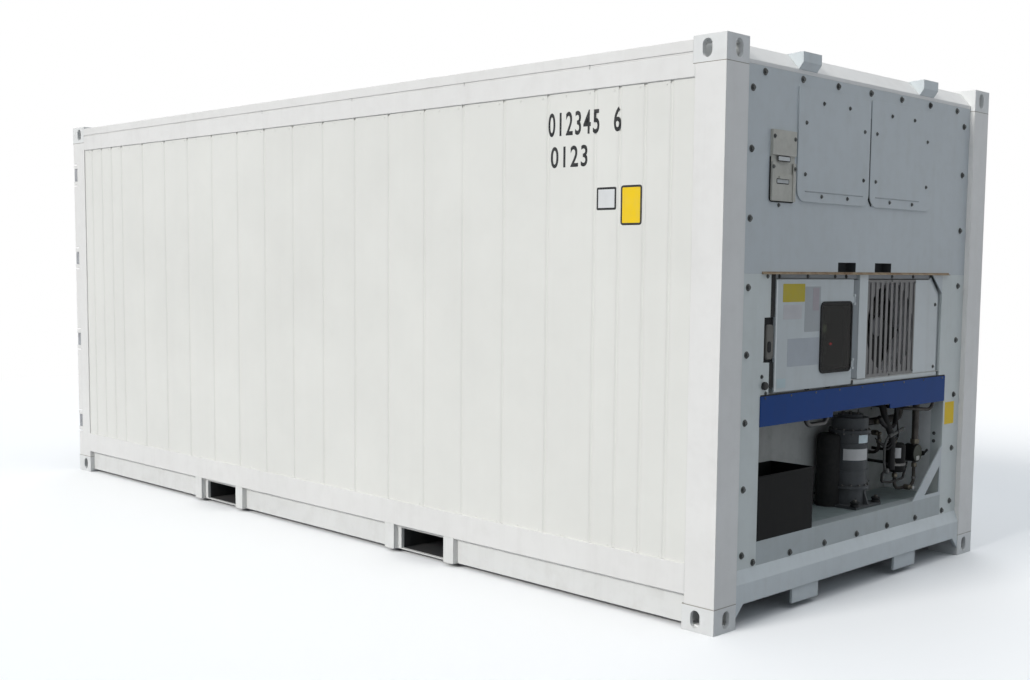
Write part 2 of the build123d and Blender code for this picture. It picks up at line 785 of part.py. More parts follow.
def control_box():
    """Sheet steel box that is open at the front, with the door's hinge ears."""
    back = BOX_FRONT - BOX_D
    body = block(back, BOX_FRONT, BOX_LEFT, BOX_RIGHT, BOX_LOW, BOX_TOP)
    left, right = BOX_LEFT + BOX_WALL, BOX_RIGHT - BOX_WALL
    low, high = BOX_LOW + BOX_WALL, BOX_TOP - BOX_WALL
    body -= block(back + BOX_WALL, BOX_FRONT + 1, left, right, low, high)
    for middle in (BOX_LOW + BOX_HINGE_IN, BOX_TOP - BOX_HINGE_IN):
        for side in (-1, 1):
            low = middle + side * (KNUCKLE_H / 2 + SHAFT_PLAY)
            high = low + side * LUG_H
            y0, y1 = BOX_PIN_Y - KNUCKLE_R, BOX_PIN_Y + KNUCKLE_R
            ear = block(BOX_FRONT - 2 * LUG_H, BOX_PIN_X + KNUCKLE_R, y0, y1, low, high)
            foot = block(BOX_FRONT - 2 * LUG_H, BOX_FRONT, BOX_RIGHT, y0, low, high)
            body += ear + foot
        reach = KNUCKLE_H / 2 + SHAFT_PLAY + LUG_H
        body += disc(BOX_PIN_X, BOX_PIN_Y, middle - reach, PIN_R, 2 * reach)
    return [body]


def control_box_rests():
    """Brackets that carry the control box from the bay's back wall."""
    back = BOX_FRONT - BOX_D
    left, right = BOX_LEFT + BOX_HINGE_IN, BOX_RIGHT - BOX_HINGE_IN
    places = (BOX_LOW + BOX_HINGE_IN, BOX_TOP - BOX_HINGE_IN)
    return [block(BAY_BACK, back, left, right, z, z + 2 * LUG_H) for z in places]


def control_door():
    """Hinged front of the control box, with a window opening and hinge eyes."""
    back = BOX_DOOR_X - DOOR_PLATE
    door = block(back, BOX_DOOR_X, BOX_LEFT, BOX_RIGHT, BOX_LOW, BOX_TOP)
    left, right = WINDOW_LEFT + WINDOW_RIM, WINDOW_RIGHT - WINDOW_RIM
    low, high = WINDOW_LOW + WINDOW_RIM, WINDOW_TOP - WINDOW_RIM
    door -= block(back - 1, BOX_DOOR_X + 1, left, right, low, high)
    for middle in (BOX_LOW + BOX_HINGE_IN, BOX_TOP - BOX_HINGE_IN):
        low = middle - KNUCKLE_H / 2
        eye = disc(BOX_PIN_X, BOX_PIN_Y, low, KNUCKLE_R, KNUCKLE_H)
        high = low + KNUCKLE_H
        eye += block(BOX_PIN_X - PIN_R, BOX_PIN_X + PIN_R, BOX_RIGHT, BOX_PIN_Y, low, high)
        eye -= disc(BOX_PIN_X, BOX_PIN_Y, low - 1, PIN_R + SHAFT_PLAY, KNUCKLE_H + 2)
        door += eye
    return [door]


def control_window():
    """Dark pane with rounded corners on the control door."""
    front = BOX_DOOR_X + WINDOW_T
    pane = block(BOX_DOOR_X, front, WINDOW_LEFT, WINDOW_RIGHT, WINDOW_LOW, WINDOW_TOP)
    return [fillet(pane.edges().filter_by(Axis.X), WINDOW_R)]


def controller_panel():
    """Operating panel behind the window, on a plate in the control box."""
    x1 = BOX_FRONT - 2 * DOOR_PLATE
    back = BOX_FRONT - BOX_D + BOX_WALL
    plate = block(x1 - PANEL_T, x1, WINDOW_LEFT, WINDOW_RIGHT, WINDOW_LOW, WINDOW_TOP)
    legs = []
    for y in (WINDOW_LEFT + WINDOW_R, WINDOW_RIGHT - WINDOW_R):
        for z in (WINDOW_LOW + WINDOW_R, WINDOW_TOP - WINDOW_R):
            legs.append(disc(back, y, z, PANEL_T, x1 - PANEL_T - back, "X"))
    return [plate + legs]


def bay_column():
    """Folded upright between control box and fan."""
    low, right = FAN_LOW - SHELF_T, FAN_LEFT - COLUMN_GAP
    return [block(FAN_PLATE_X, UNIT_X - COLUMN_GAP, COLUMN_LEFT, right, low, BAY_TOP)]


def bay_shelf():
    """Steel shelf behind the cover band, which carries the upper machinery."""
    top = FAN_LOW - SHELF_T
    front = UNIT_X - 2 * COLUMN_GAP
    return [block(BAY_BACK, front, BOX_RIGHT, BAY_HALF_TOP, top - SHELF_T, top)]


def fan_shroud():
    """Box with a round inlet ring around the condenser fan."""
    x0, x1 = FAN_PLATE_X, FAN_FRONT
    low = FAN_LOW - SHELF_T
    shroud = block(x0, x1, FAN_LEFT - COLUMN_GAP, FAN_RIGHT, low, FAN_TOP)
    right, high = FAN_RIGHT - FAN_PLATE, FAN_TOP - FAN_PLATE
    shroud -= block(x0 + FAN_PLATE, x1 + 1, FAN_LEFT, right, FAN_LOW, high)
    ring = disc(x0 - RING_L, FAN_Y, FAN_Z, FAN_HOLE_R + RING_T, RING_L, "X")
    shroud += ring
    shroud -= disc(x0 - RING_L - 1, FAN_Y, FAN_Z, FAN_HOLE_R, RING_L + FAN_PLATE + 2, "X")
    return [shroud]


def fan_rotor():
    """Fan wheel: a hub with pitched blades."""
    hub = disc(HUB_X - HUB_L, FAN_Y, FAN_Z, HUB_R, HUB_L, "X")
    tip = FAN_HOLE_R - BLADE_GAP
    align = (Align.MIN, Align.CENTER, Align.CENTER)
    blade = Box(tip - BLADE_ROOT_R, BLADE_CHORD, BLADE_T, align=align)
    blade = Pos(BLADE_ROOT_R, 0, 0) * Rot(BLADE_ANGLE, 0, 0) * blade
    wheel = blade & Cylinder(tip, BLADE_CHORD)
    blades = [Rot(0, 0, i * 360 / BLADE_COUNT) * wheel for i in range(BLADE_COUNT)]
    place = Pos(HUB_X - HUB_L / 2, FAN_Y, FAN_Z) * Rot(0, 90, 0)
    rotor = hub + [place * b for b in blades]
    rotor -= disc(HUB_X - HUB_L - 1, FAN_Y, FAN_Z, SHAFT_R + SHAFT_PLAY, HUB_L - HUB_CAP + 1, "X")
    return [rotor]


def fan_motor():
    """Motor behind the fan, on two uprights from the shelf."""
    front = HUB_X - HUB_L - MOTOR_GAP
    motor = disc(front - MOTOR_L, FAN_Y, FAN_Z, MOTOR_R, MOTOR_L, "X")
    motor += disc(front, FAN_Y, FAN_Z, SHAFT_R, MOTOR_GAP + HUB_L - 2 * HUB_CAP, "X")
    x0, x1 = BAY_BACK + COIL_T + COIL_MARGIN, front - ARM_W
    for side in (-1, 1):
        y = FAN_Y + side * (MOTOR_R - ARM_T)
        motor += block(x0, x1, y - ARM_T / 2, y + ARM_T / 2, FAN_LOW - SHELF_T, FAN_Z)
    return [motor]


def fan_grille():
    """Guard of upright slats in front of the fan."""
    x0, x1 = FAN_FRONT, FAN_FRONT + SLAT_T
    low, high, rim = FAN_LOW, FAN_TOP - FAN_PLATE, SLAT_W / 2
    frame = block(x0, x1, FAN_LEFT - COLUMN_GAP, FAN_RIGHT, FAN_LOW - SHELF_T, FAN_TOP)
    frame -= block(x0 - 1, x1 + 1, FAN_LEFT + rim, FAN_RIGHT - rim, low + rim, high - rim)
    pitch = FAN_BOX / (SLAT_COUNT + 1)
    for i in range(1, SLAT_COUNT + 1):
        y = FAN_LEFT + i * pitch
        frame += block(x0, x1, y - rim, y + rim, low, high)
    return [frame]


def condenser_coil():
    """Finned coil on the bay's back wall behind the fan."""
    low, right = FAN_LOW - SHELF_T, BAY_HALF_TOP - COIL_MARGIN
    return [block(BAY_BACK, BAY_BACK + COIL_T, FAN_LEFT, right, low, BAY_TOP)]


def condenser_side_panel():
    """Flat steel panel to the right of the fan, with a cut corner."""
    x1 = FAN_FRONT + SLAT_T
    top = FAN_TOP
    cut = SIDE_PANEL_CUT
    points = [
        (FAN_RIGHT, FAN_LOW - SHELF_T),
        (SIDE_PANEL_RIGHT, FAN_LOW - SHELF_T),
        (SIDE_PANEL_RIGHT, top - cut),
        (SIDE_PANEL_RIGHT - cut, top),
        (FAN_RIGHT, top),
    ]
    return [along_x(points, x1 - SIDE_PANEL_T, x1)]


def cover_band():
    """Coloured steel band right across the bay, raised along the middle."""
    points = [
        (-BAY_HALF_LOW, BAND_TOP),
        (BAY_HALF_LOW, BAND_TOP),
        (BAY_HALF_LOW, BAND_LOW),
        (BAND_STEP_R, BAND_LOW),
        (BAND_STEP_R, BAND_RAISED),
        (BAND_STEP_L, BAND_RAISED),
        (BAND_STEP_L, BAND_LOW),
        (-BAY_HALF_LOW, BAND_LOW),
    ]
    return [along_x(points, UNIT_X, UNIT_X + BAND_T)]


def cable_tray():
    """Open-topped tray that holds the coiled power cable."""
    left = -BAY_HALF_LOW
    x0 = UNIT_X - TRAY_D
    tray = block(x0, UNIT_X, left, TRAY_RIGHT, BAY_FLOOR, TRAY_TOP)
    low, right = BAY_FLOOR + TRAY_T, TRAY_RIGHT - TRAY_T
    tray -= block(x0 + TRAY_T, UNIT_X - TRAY_T, left + TRAY_T, right, low, TRAY_TOP + 1)
    return [tray]


def diagonal_brace():
    """Flat steel brace across the lower right corner of the bay."""
    y1 = BAY_HALF_LOW
    run, rise, width = BRACE_RUN, BRACE_RISE, BRACE_W
    outer = [(y1 - run, BAY_FLOOR), (y1, BAY_FLOOR), (y1, BAY_FLOOR + rise)]
    plate = along_x(outer, UNIT_X - BRACE_T, UNIT_X)
    slope = math.hypot(run, rise)
    inset_y = width * slope / rise
    inset_z = width * slope / run
    edge = width / 4
    inner = [
        (y1 - run + inset_y + edge * run / rise, BAY_FLOOR + edge),
        (y1 - edge, BAY_FLOOR + edge),
        (y1 - edge, BAY_FLOOR + rise - inset_z - edge * rise / run),
    ]
    return [plate - along_x(inner, UNIT_X - BRACE_T - 1, UNIT_X + 1)]


def compressor():
    """Upright compressor on a square foot, with two bolted flanges and a can at its side."""
    x, y, foot, low = COMP_X, COMP_Y, COMP_FOOT_R, BAY_FLOOR
    body = block(x - foot, x + foot, y - foot, y + foot, low, low + COMP_FOOT_T)
    body += disc(x, y, low, COMP_R, COMP_TOP - low - COMP_FLANGE_T)
    for z in (low + COMP_FLANGE_IN, COMP_TOP - COMP_FLANGE_IN):
        body += disc(x, y, z, COMP_FLANGE_R, COMP_FLANGE_T)
    body += disc(x, y, COMP_TOP - COMP_FLANGE_T, COMP_CAP_R, COMP_FLANGE_T)
    can = disc(x - COMP_SIDE_BACK, y - COMP_SIDE_LEFT, low, COMP_SIDE_R, COMP_SIDE_TOP - low)
    return [body + fillet(can.edges().group_by(Axis.Z)[-1], COMP_SIDE_R / 2)]


def receiver():
    """Upright liquid receiver on a flat bracket from the back wall."""
    tank = disc(TANK_X, TANK_Y, TANK_LOW, TANK_R, TANK_H)
    tank = fillet(tank.edges().filter_by(GeomType.CIRCLE), TANK_R / 3)
    y0, y1 = TANK_Y - TANK_R / 2, TANK_Y + TANK_R / 2
    return [tank + block(BAY_BACK, TANK_X, y0, y1, TANK_REST_Z, TANK_REST_Z + TANK_REST_T)]


def filter_drier():
    """Drier can lying along the bay, on a foot from the back wall."""
    can = disc(DRIER_X, DRIER_Y, DRIER_Z, DRIER_R, DRIER_L, "X")
    half = DRIER_FOOT / 2
    low, high = DRIER_Z - half, DRIER_Z + half
    return [can + block(BAY_BACK, DRIER_X, DRIER_Y - half, DRIER_Y + half, low, high)]


def pipe(points, radius):
    """A round pipe along straight runs joined by bends."""
    path = FilletPolyline(*points, radius=PIPE_BEND)
    section = Plane(origin=path @ 0, z_dir=path % 0) * Circle(radius)
    return sweep(section, path=path, transition=Transition.ROUND)


def refrigerant_pipes():
    """Pipes between compressor, receiver, drier and the machinery above."""
    side = COMP_Y + COMP_R
    z = DISCHARGE_Z
    discharge = [
        (COMP_X, side, z),
        (COMP_X, TANK_Y, z),
        (COMP_X, TANK_Y, z - PIPE_RUN),
        (BAY_BACK, TANK_Y, z - PIPE_RUN),
    ]
    z = SUCTION_Z
    suction = [(COMP_X, side, z), (COMP_X, SUCTION_Y, z), (COMP_X, SUCTION_Y, SHELF_LOW)]
    x, z = DRIER_X + DRIER_L - DRIER_PIPE_IN, LIQUID_Z
    liquid = [
        (TANK_X, TANK_Y, TANK_LOW),
        (TANK_X, TANK_Y, z),
        (x, DRIER_Y, z),
        (x, DRIER_Y, DRIER_Z - DRIER_R),
    ]
    riser = disc(x, DRIER_Y, DRIER_Z, RISER_R, SHELF_LOW - DRIER_Z)
    riser -= disc(x - 2 * RISER_R, DRIER_Y, DRIER_Z, DRIER_R, DRIER_L, "X")
    hose = [
        (HOSE_X, HOSE_Y, SHELF_LOW),
        (HOSE_X, HOSE_Y, HOSE_Z),
        (HOSE_BACK_X, HOSE_BACK_Y, HOSE_BACK_Z),
        (BAY_BACK, HOSE_BACK_Y, HOSE_BACK_Z),
    ]
    thin = [pipe(points, PIPE_R) for points in (discharge, liquid, hose)]
    return thin + [pipe(suction, SUCTION_R), riser]


def cable_conduit():
    """Bent conduit that loops out of the control box and back, above the compressor."""
    x, left, right = CONDUIT_X, CONDUIT_LEFT, CONDUIT_RIGHT
    points = [(x, left, BOX_LOW), (x, left, CONDUIT_LOW), (x, right, CONDUIT_LOW), (x, right, BOX_LOW)]
    return [pipe(points, CONDUIT_R)]


def keeper(y, face, z, height):
    """Open U-block that takes the end of a lock rod."""
    clear = ROD_R + KEEPER_PLAY
    front = ROD_X - ROD_R
    cheeks = block(front, face, y - clear - KEEPER_T, y - clear, z, z + height)
    cheeks += block(front, face, y + clear, y + clear + KEEPER_T, z, z + height)
    return cheeks


def frame_with_keepers(frame, face, z):
    """Fuses the lock rod keepers of both leaves to a frame member."""
    for dy in ROD_Y:
        y = PIN_Y - dy
        one = keeper(y, face, z, KEEPER_H)
        frame = frame + one + mirror(one, Plane.XZ)
    return frame


def door_header():
    """Steel header over the doors, with the upper rod keepers."""
    beam = block(REAR_POST_X, -CAST_X, -CAST_Y, CAST_Y, CAST_UNDER, TOP_RAIL_TOP)
    return [frame_with_keepers(beam, REAR_POST_X, CAST_UNDER + DOOR_GAP)]


def door_sill():
    """Steel sill under the doors, with the lower rod keepers."""
    end = FRAME_X
    sill = block(REAR_POST_X, end, -CAST_Y, CAST_Y, REAR_SILL_FOOT, REAR_SILL_TOP)
    wide = SIDE_Y - REAR_POST_W
    sill += block(REAR_POST_X, end, -wide, wide, CAST_H, REAR_SILL_TOP)
    z = REAR_SILL_TOP - DOOR_GAP - KEEPER_H
    return [frame_with_keepers(sill, REAR_POST_X, z)]


def door_leaf():
    """One insulated door leaf, on the +Y side."""
    return block(DOOR_X, DOOR_IN, MEETING_GAP / 2, DOOR_Y, DOOR_LOW, DOOR_TOP)


def door_seal():
    """Rubber lip around the outer edge of a leaf."""
    x0 = DOOR_X + SEAL_INSET
    x1 = x0 + SEAL_T
    y0, y1 = MEETING_GAP / 2, DOOR_Y
    ring = block(x0, x1, y0 - SEAL_OUT, y1 + SEAL_OUT, DOOR_LOW - SEAL_OUT, DOOR_TOP + SEAL_OUT)
    return ring - block(x0 - 1, x1 + 1, y0, y1, DOOR_LOW, DOOR_TOP)


def door_hinges():
    """Four cranked hinge blades on the face of a leaf."""
    blades = []
    face = DOOR_SKIN_IN
    front = face - HINGE_BLADE_T
    lap = EDGE_TO_PIN + HINGE_LAP
    side = HINGE_KNUCKLE_R * math.sqrt(0.5)
    crank = [(-side, side), (front, HINGE_CRANK), (front, lap), (face, lap)]
    crank += [(face, HINGE_CRANK_IN), (side, -side)]
    points = [(PIN_X + dx, PIN_Y - dy) for dx, dy in crank]
    y0, y1 = PIN_Y - HINGE_BLADE_L, PIN_Y - EDGE_TO_PIN
    for z in HINGE_Z:
        low = z - HINGE_EYE_H / 2
        eye = disc(PIN_X, PIN_Y, low, HINGE_KNUCKLE_R, HINGE_EYE_H)
        eye += along_z(points, low, low + HINGE_EYE_H)
        eye -= disc(PIN_X, PIN_Y, low - 1, HINGE_PIN_R + SHAFT_PLAY, HINGE_EYE_H + 2)
        low = z - HINGE_H / 2
        eye += block(DOOR_X - HINGE_BLADE_T, DOOR_X, y0, y1, low, low + HINGE_H)
        blades.append(eye)
    return blades


def lock_rod(y, handle_end, handle_z):
    """A lock rod with five bearings, and a flat handle that reaches to handle_end."""
    low = REAR_SILL_TOP - ROD_OVERLAP
    rod = disc(ROD_X, y, low, ROD_R, CAST_UNDER + ROD_OVERLAP - low)
    front = ROD_X - ROD_R
    for z in [DOOR_LOW + GUIDE_H, *GUIDE_Z, DOOR_TOP - 2 * GUIDE_H]:
        rod += block(front, DOOR_X, y - GUIDE_W / 2, y + GUIDE_W / 2, z, z + GUIDE_H)
    half, high = HANDLE_HUB_W / 2, handle_z + HANDLE_H
    rod += block(front - HANDLE_T, front + ROD_R / 2, y - half, y + half, handle_z, high)
    rod += block(front - HANDLE_T, front, y, handle_end, handle_z, high)
    return rod


def door_lock_gear():
    """Two lock rods for each leaf, with handles that point at each other."""
    outer, inner = [PIN_Y - dy for dy in ROD_Y]
    return [
        lock_rod(outer, outer - INNER_HANDLE_L, INNER_HANDLE_Z),
        lock_rod(inner, inner + OUTER_HANDLE_L, OUTER_HANDLE_Z),
    ]


def write(name, shapes):
    """Writes the solids of one sub-part to its STEP file."""
    solids = []
    for shape in shapes:
        solids += list(shape.solids())
    body = solids[0] if len(solids) == 1 else Compound(solids)
    export_step(body, f"parts/{name}.step")


def mirrored(shapes):
    """The same pieces on the other side of the container."""
    return [mirror(s, Plane.XZ) for s in shapes]


os.makedirs("parts", exist_ok=True)
write("corner_castings_top", corner_castings(True))
write("corner_castings_bottom", corner_castings(False))
write("front_corner_posts", front_corner_posts())
write("rear_corner_posts", rear_corner_posts())
write("top_side_rails", top_side_rails())
write("bottom_side_rails", bottom_side_rails())
write("bottom_rail_webs", bottom_rail_webs())
write("fork_pockets", fork_pockets())
write("cross_members", cross_members())
write("side_walls", side_walls())
write("roof_panel", roof_panel())
write("floor_panel", floor_panel())
write("t_bar_floor", t_bar_floor())
write("front_bottom_rail", front_bottom_rail())
write("front_top_rail", front_top_rail())
write("lashing_lugs", lashing_lugs())
write("unit_upper_panel", unit_upper_panel())
write("unit_stiles", unit_stiles())
write("unit_lower_strip", unit_lower_strip())
write("bay_back", bay_back())
write("bay_sides", bay_sides())
write("bay_floor_and_ceiling", bay_floor_and_ceiling())
write("air_liner", air_liner())
write("bay_corner_plates", bay_corner_plate() + diagonal_brace())
write("access_panels", access_panels())
write("vent_housing", vent_housing())
write("vent_slide", vent_slide())
write("control_box", control_box())
write("control_box_rests", control_box_rests())
write("control_door", control_door())
write("control_window", control_window())
write("controller_panel", controller_panel())
write("bay_column", bay_column())
write("bay_shelf", bay_shelf())
write("fan_shroud", fan_shroud())
write("fan_rotor", fan_rotor())
write("fan_motor", fan_motor())
write("fan_grille", fan_grille())
write("condenser_coil", condenser_coil())
write("condenser_side_panel", condenser_side_panel())
write("cover_band", cover_band())
write("cable_tray", cable_tray())
write("compressor", compressor())
write("receiver_and_drier", receiver() + filter_drier())
write("refrigerant_pipes", refrigerant_pipes())
write("cable_conduit", cable_conduit())
write("door_header", door_header())
write("door_sill", door_sill())
write("door_leaf_left", [door_leaf()])
write("door_leaf_right", mirrored([door_leaf()]))
write("door_seal_left", [door_seal()])
write("door_seal_right", mirrored([door_seal()]))
write("door_hardware_left", door_hinges() + door_lock_gear())
write("door_hardware_right", mirrored(door_hinges() + door_lock_gear()))
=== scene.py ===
import math
import bpy
import numpy as np
from mathutils import Matrix


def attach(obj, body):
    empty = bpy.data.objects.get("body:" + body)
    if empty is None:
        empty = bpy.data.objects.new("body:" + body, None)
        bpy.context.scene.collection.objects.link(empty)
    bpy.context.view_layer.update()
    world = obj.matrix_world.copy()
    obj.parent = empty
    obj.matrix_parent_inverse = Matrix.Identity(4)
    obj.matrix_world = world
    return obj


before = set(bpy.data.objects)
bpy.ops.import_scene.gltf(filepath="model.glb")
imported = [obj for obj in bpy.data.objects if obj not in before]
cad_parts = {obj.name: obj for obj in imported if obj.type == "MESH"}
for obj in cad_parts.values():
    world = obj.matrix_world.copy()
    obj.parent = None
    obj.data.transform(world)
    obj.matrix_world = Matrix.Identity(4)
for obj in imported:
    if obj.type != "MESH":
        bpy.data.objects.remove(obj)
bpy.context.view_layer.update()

# Corner castings
# Eight hollow steel castings that cranes and lashings grip, welded to the ends of the posts.
# They are blasted and sprayed white with the frame. The weld to the post shows as a thin
# dull line.


def feed(socket, value):
    """Gives a socket a plain value, or links another node's output to it."""
    if isinstance(value, bpy.types.NodeSocket):
        socket.id_data.links.new(value, socket)
    else:
        socket.default_value = (*value, 1.0) if socket.type == "RGBA" and len(value) == 3 else value


def add(tree, kind, feeds, **settings):
    """A new node of that kind. feeds gives its inputs by name or number."""
    made = tree.nodes.new("ShaderNode" + kind)
    for title, value in settings.items():
        setattr(made, title, value)
    for title, value in feeds.items():
        feed(made.inputs[title], value)
    return made


def maths(tree, operation, *values):
    """One step of arithmetic on up to three values."""
    return add(tree, "Math", dict(enumerate(values)), operation=operation).outputs[0]


def band(tree, value, start, end):
    """0 up to start and 1 from end on, with a straight slope between them."""
    feeds = {"Value": value, "From Min": start, "From Max": end}
    return add(tree, "MapRange", feeds).outputs[0]


def mixed(tree, share, first, second):
    """A colour that goes from first to second as share goes from 0 to 1."""
    return add(tree, "Mix", {0: share, 6: first, 7: second}, data_type="RGBA").outputs[2]


def noise(tree, place, scale, detail=4.0, stretch=None):
    """Cloudy noise from 0 to 1 over a place, which stretch first multiplies on each axis."""
    if stretch:
        place = add(tree, "Mapping", {"Vector": place, "Scale": stretch}).outputs[0]
    feeds = {"Vector": place, "Scale": scale, "Detail": detail, "Roughness": 0.6}
    return add(tree, "TexNoise", feeds).outputs[0]


def effect(name, colours, values):
    """An empty effect group that puts out colour, roughness and normal: its tree, inputs and outputs."""
    tree = bpy.data.node_groups.new(name, "ShaderNodeTree")
    for titles, kind in ((colours, "NodeSocketColor"), (values, "NodeSocketFloat")):
        for title in titles:
            tree.interface.new_socket(title, in_out="INPUT", socket_type=kind)
    for title, kind in (("Colour", "Color"), ("Roughness", "Float"), ("Normal", "Vector")):
        tree.interface.new_socket(title, in_out="OUTPUT", socket_type="NodeSocket" + kind)
    return tree, tree.nodes.new("NodeGroupInput").outputs, tree.nodes.new("NodeGroupOutput").inputs


def eased(tree, given):
    """The rounded normal at sharp edges, and a mask that is 1 along those edges."""
    soft = add(tree, "Bevel", {"Radius": given["Edge"]}, samples=6).outputs[0]
    true = add(tree, "NewGeometry", {}).outputs["Normal"]
    lean = add(tree, "VectorMath", {0: soft, 1: true}, operation="DOT_PRODUCT").outputs["Value"]
    return soft, band(tree, lean, 0.99, 0.8)


def sprayed_paint():
    """Sprayed paint. Dirt is blotches of fine noise, plus streaks of a noise stretched down z,
    plus the edges; paint turns to dirt by their sum. The height is orange peel on low waves."""
    tree, given, out = effect("sprayed_paint", ("Paint", "Dirt"),
                              ("Blotches", "Streaks", "Gloss", "Edge"))
    place = add(tree, "TexCoord", {}).outputs["Object"]
    soft, edges = eased(tree, given)
    clouds = noise(tree, place, 12.0, 7.0)
    runs = noise(tree, place, 1.0, 5.0, (13.0, 13.0, 0.5))
    dirt = maths(tree, "MULTIPLY", given["Blotches"], band(tree, clouds, 0.46, 0.78))
    dirt = maths(tree, "MULTIPLY_ADD", given["Streaks"], band(tree, runs, 0.5, 0.8), dirt)
    rubbed = maths(tree, "MULTIPLY", edges, band(tree, clouds, 0.3, 0.7))
    dirt = maths(tree, "MULTIPLY_ADD", given["Blotches"], rubbed, dirt)
    drift = maths(tree, "MULTIPLY_ADD", noise(tree, place, 1.6, 4.0), 0.16, 0.92)
    paint = add(tree, "HueSaturation", {"Color": given["Paint"], "Value": drift}).outputs[0]
    feed(out["Colour"], mixed(tree, maths(tree, "MINIMUM", dirt, 1.0), paint, given["Dirt"]))
    feed(out["Roughness"], maths(tree, "MULTIPLY_ADD", dirt, 0.35, given["Gloss"]))
    height = maths(tree, "MULTIPLY_ADD", noise(tree, place, 420.0, 1.0), 0.05,
                   noise(tree, place, 2.6, 1.0))
    feeds = {"Strength": 0.5, "Distance": 0.002, "Height": height, "Normal": soft}
    feed(out["Normal"], add(tree, "Bump", feeds).outputs[0])
    return tree


def finish(name, group, looks, **shader):
    """A material whose colour, roughness and normal come from an effect group with these looks.
    What is the same all over is set on the shader itself."""
    made = bpy.data.materials.new(name)
    made.use_nodes = True
    skin = made.node_tree.nodes["Principled BSDF"]
    source = add(made.node_tree, "Group", {}, node_tree=group)
    for title, value in looks.items():
        feed(source.inputs[title], value)
    for title, value in shader.items():
        feed(skin.inputs[title.replace("_", " ")], value)
    for given, taken in (("Colour", "Base Color"), ("Roughness", "Roughness"), ("Normal", "Normal")):
        feed(skin.inputs[taken], source.outputs[given])
    return made


def dress(material, *names):
    """These CAD nodes take that material."""
    for name in names:
        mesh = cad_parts[name].data
        mesh.materials.clear()
        mesh.materials.append(material)


PAINT = sprayed_paint()
ROAD_DIRT = (0.30, 0.27, 0.23)


def sprayed(name, paint, dirt=ROAD_DIRT, blotches=0.3, streaks=0.1, gloss=0.5, edge=0.003, **shader):
    """A sprayed paint of that colour. Blotches and streaks say how dirty it is, gloss how rough,
    and edge how wide its worn edges are."""
    looks = {"Paint": paint, "Dirt": dirt, "Blotches": blotches, "Streaks": streaks, "Gloss": gloss,
             "Edge": edge}
    return finish(name, PAINT, looks, **shader)


casting_finish = sprayed("casting_paint", (0.74, 0.745, 0.735), blotches=0.12, streaks=0.08,
                         gloss=0.42, edge=0.005)


def weld_lines(material, heights, half):
    """Darkens the paint where z is within half of one of the heights, as at a weld."""
    tree = material.node_tree
    skin = tree.nodes["Principled BSDF"]
    colour = skin.inputs["Base Color"].links[0].from_socket
    z = add(tree, "SeparateXYZ", {0: add(tree, "TexCoord", {}).outputs["Object"]}).outputs[2]
    for height in heights:
        far = maths(tree, "ABSOLUTE", maths(tree, "SUBTRACT", z, height))
        colour = mixed(tree, band(tree, far, half, 0.3 * half), colour, (0.25, 0.22, 0.18))
    feed(skin.inputs["Base Color"], colour)


weld_lines(casting_finish, (0.117, 2.474), 0.003)
dress(casting_finish, "corner_castings_top", "corner_castings_bottom")

# Corner posts and side rails
# Pressed and folded steel, welded between the castings and sprayed white. Sealant lies in the
# long groove of the upper rails, and small ticks show where lengths of rail join.

frame_finish = sprayed("frame_paint", (0.765, 0.755, 0.735), blotches=0.07, streaks=0.07,
                       gloss=0.38, edge=0.006)
dress(frame_finish, "front_corner_posts", "rear_corner_posts", "top_side_rails", "bottom_side_rails")


def shape(points, *faces):
    """A shape: its points, the point numbers of its faces in a row, and how many each face has."""
    corners = np.concatenate([face.ravel() for face in faces])
    return points, corners, np.concatenate([np.full(len(face), face.shape[1]) for face in faces])


def shell(rings):
    """A closed skin through rings of points, each joined to the next, with the first and last
    filled. A ring turns left round the way that the rings go."""
    here = np.arange(rings.shape[0] * rings.shape[1]).reshape(rings.shape[:2])
    there = np.roll(here, -1, axis=1)
    walls = np.stack([here[:-1], there[:-1], there[1:], here[1:]], -1).reshape(-1, 4)
    return shape(rings.reshape(-1, 3), walls, here[:1, ::-1], here[-1:])


def joined(*shapes):
    """Several shapes as one: their points in a row, and their faces counted on from them."""
    firsts = np.cumsum([0] + [len(points) for points, corners, counts in shapes])
    return (np.concatenate([each[0] for each in shapes]),
            np.concatenate([each[1] + first for each, first in zip(shapes, firsts)]),
            np.concatenate([each[2] for each in shapes]))


FACINGS = {
    "+x": ((0, 0, 1), (1, 0, 0), (0, 1, 0)), "-x": ((0, 0, -1), (-1, 0, 0), (0, 1, 0)),
    "+y": ((-1, 0, 0), (0, 0, 1), (0, 1, 0)), "-y": ((1, 0, 0), (0, 0, -1), (0, 1, 0)),
    "+z": ((1, 0, 0), (0, 1, 0), (0, 0, 1)), "-z": ((1, 0, 0), (0, -1, 0), (0, 0, -1))}


def spots(x, y, z):
    """Places in rows, from three values or lists that go together."""
    return np.stack([np.ravel(v) for v in np.broadcast_arrays(x, y, z)], -1).astype(float)


def stand(flat, way, places):
    """Copies of a shape drawn flat, x right, y up and z outwards. Each stands at one place, on a
    face that looks along way."""
    points, corners, counts = flat
    turned_points = points @ np.array(FACINGS[way], float).T
    number = len(places)
    return ((places[:, None] + turned_points[None]).reshape(-1, 3),
            (corners[None] + len(points) * np.arange(number)[:, None]).ravel(), np.tile(counts, number))


def prism(outline, thick):
    """A flat outline that turns left, as thick as given."""
    outline = np.array(outline, float)
    low = np.column_stack([outline, np.zeros(len(outline))])
    return shell(np.stack([low, low + (0, 0, thick)]))


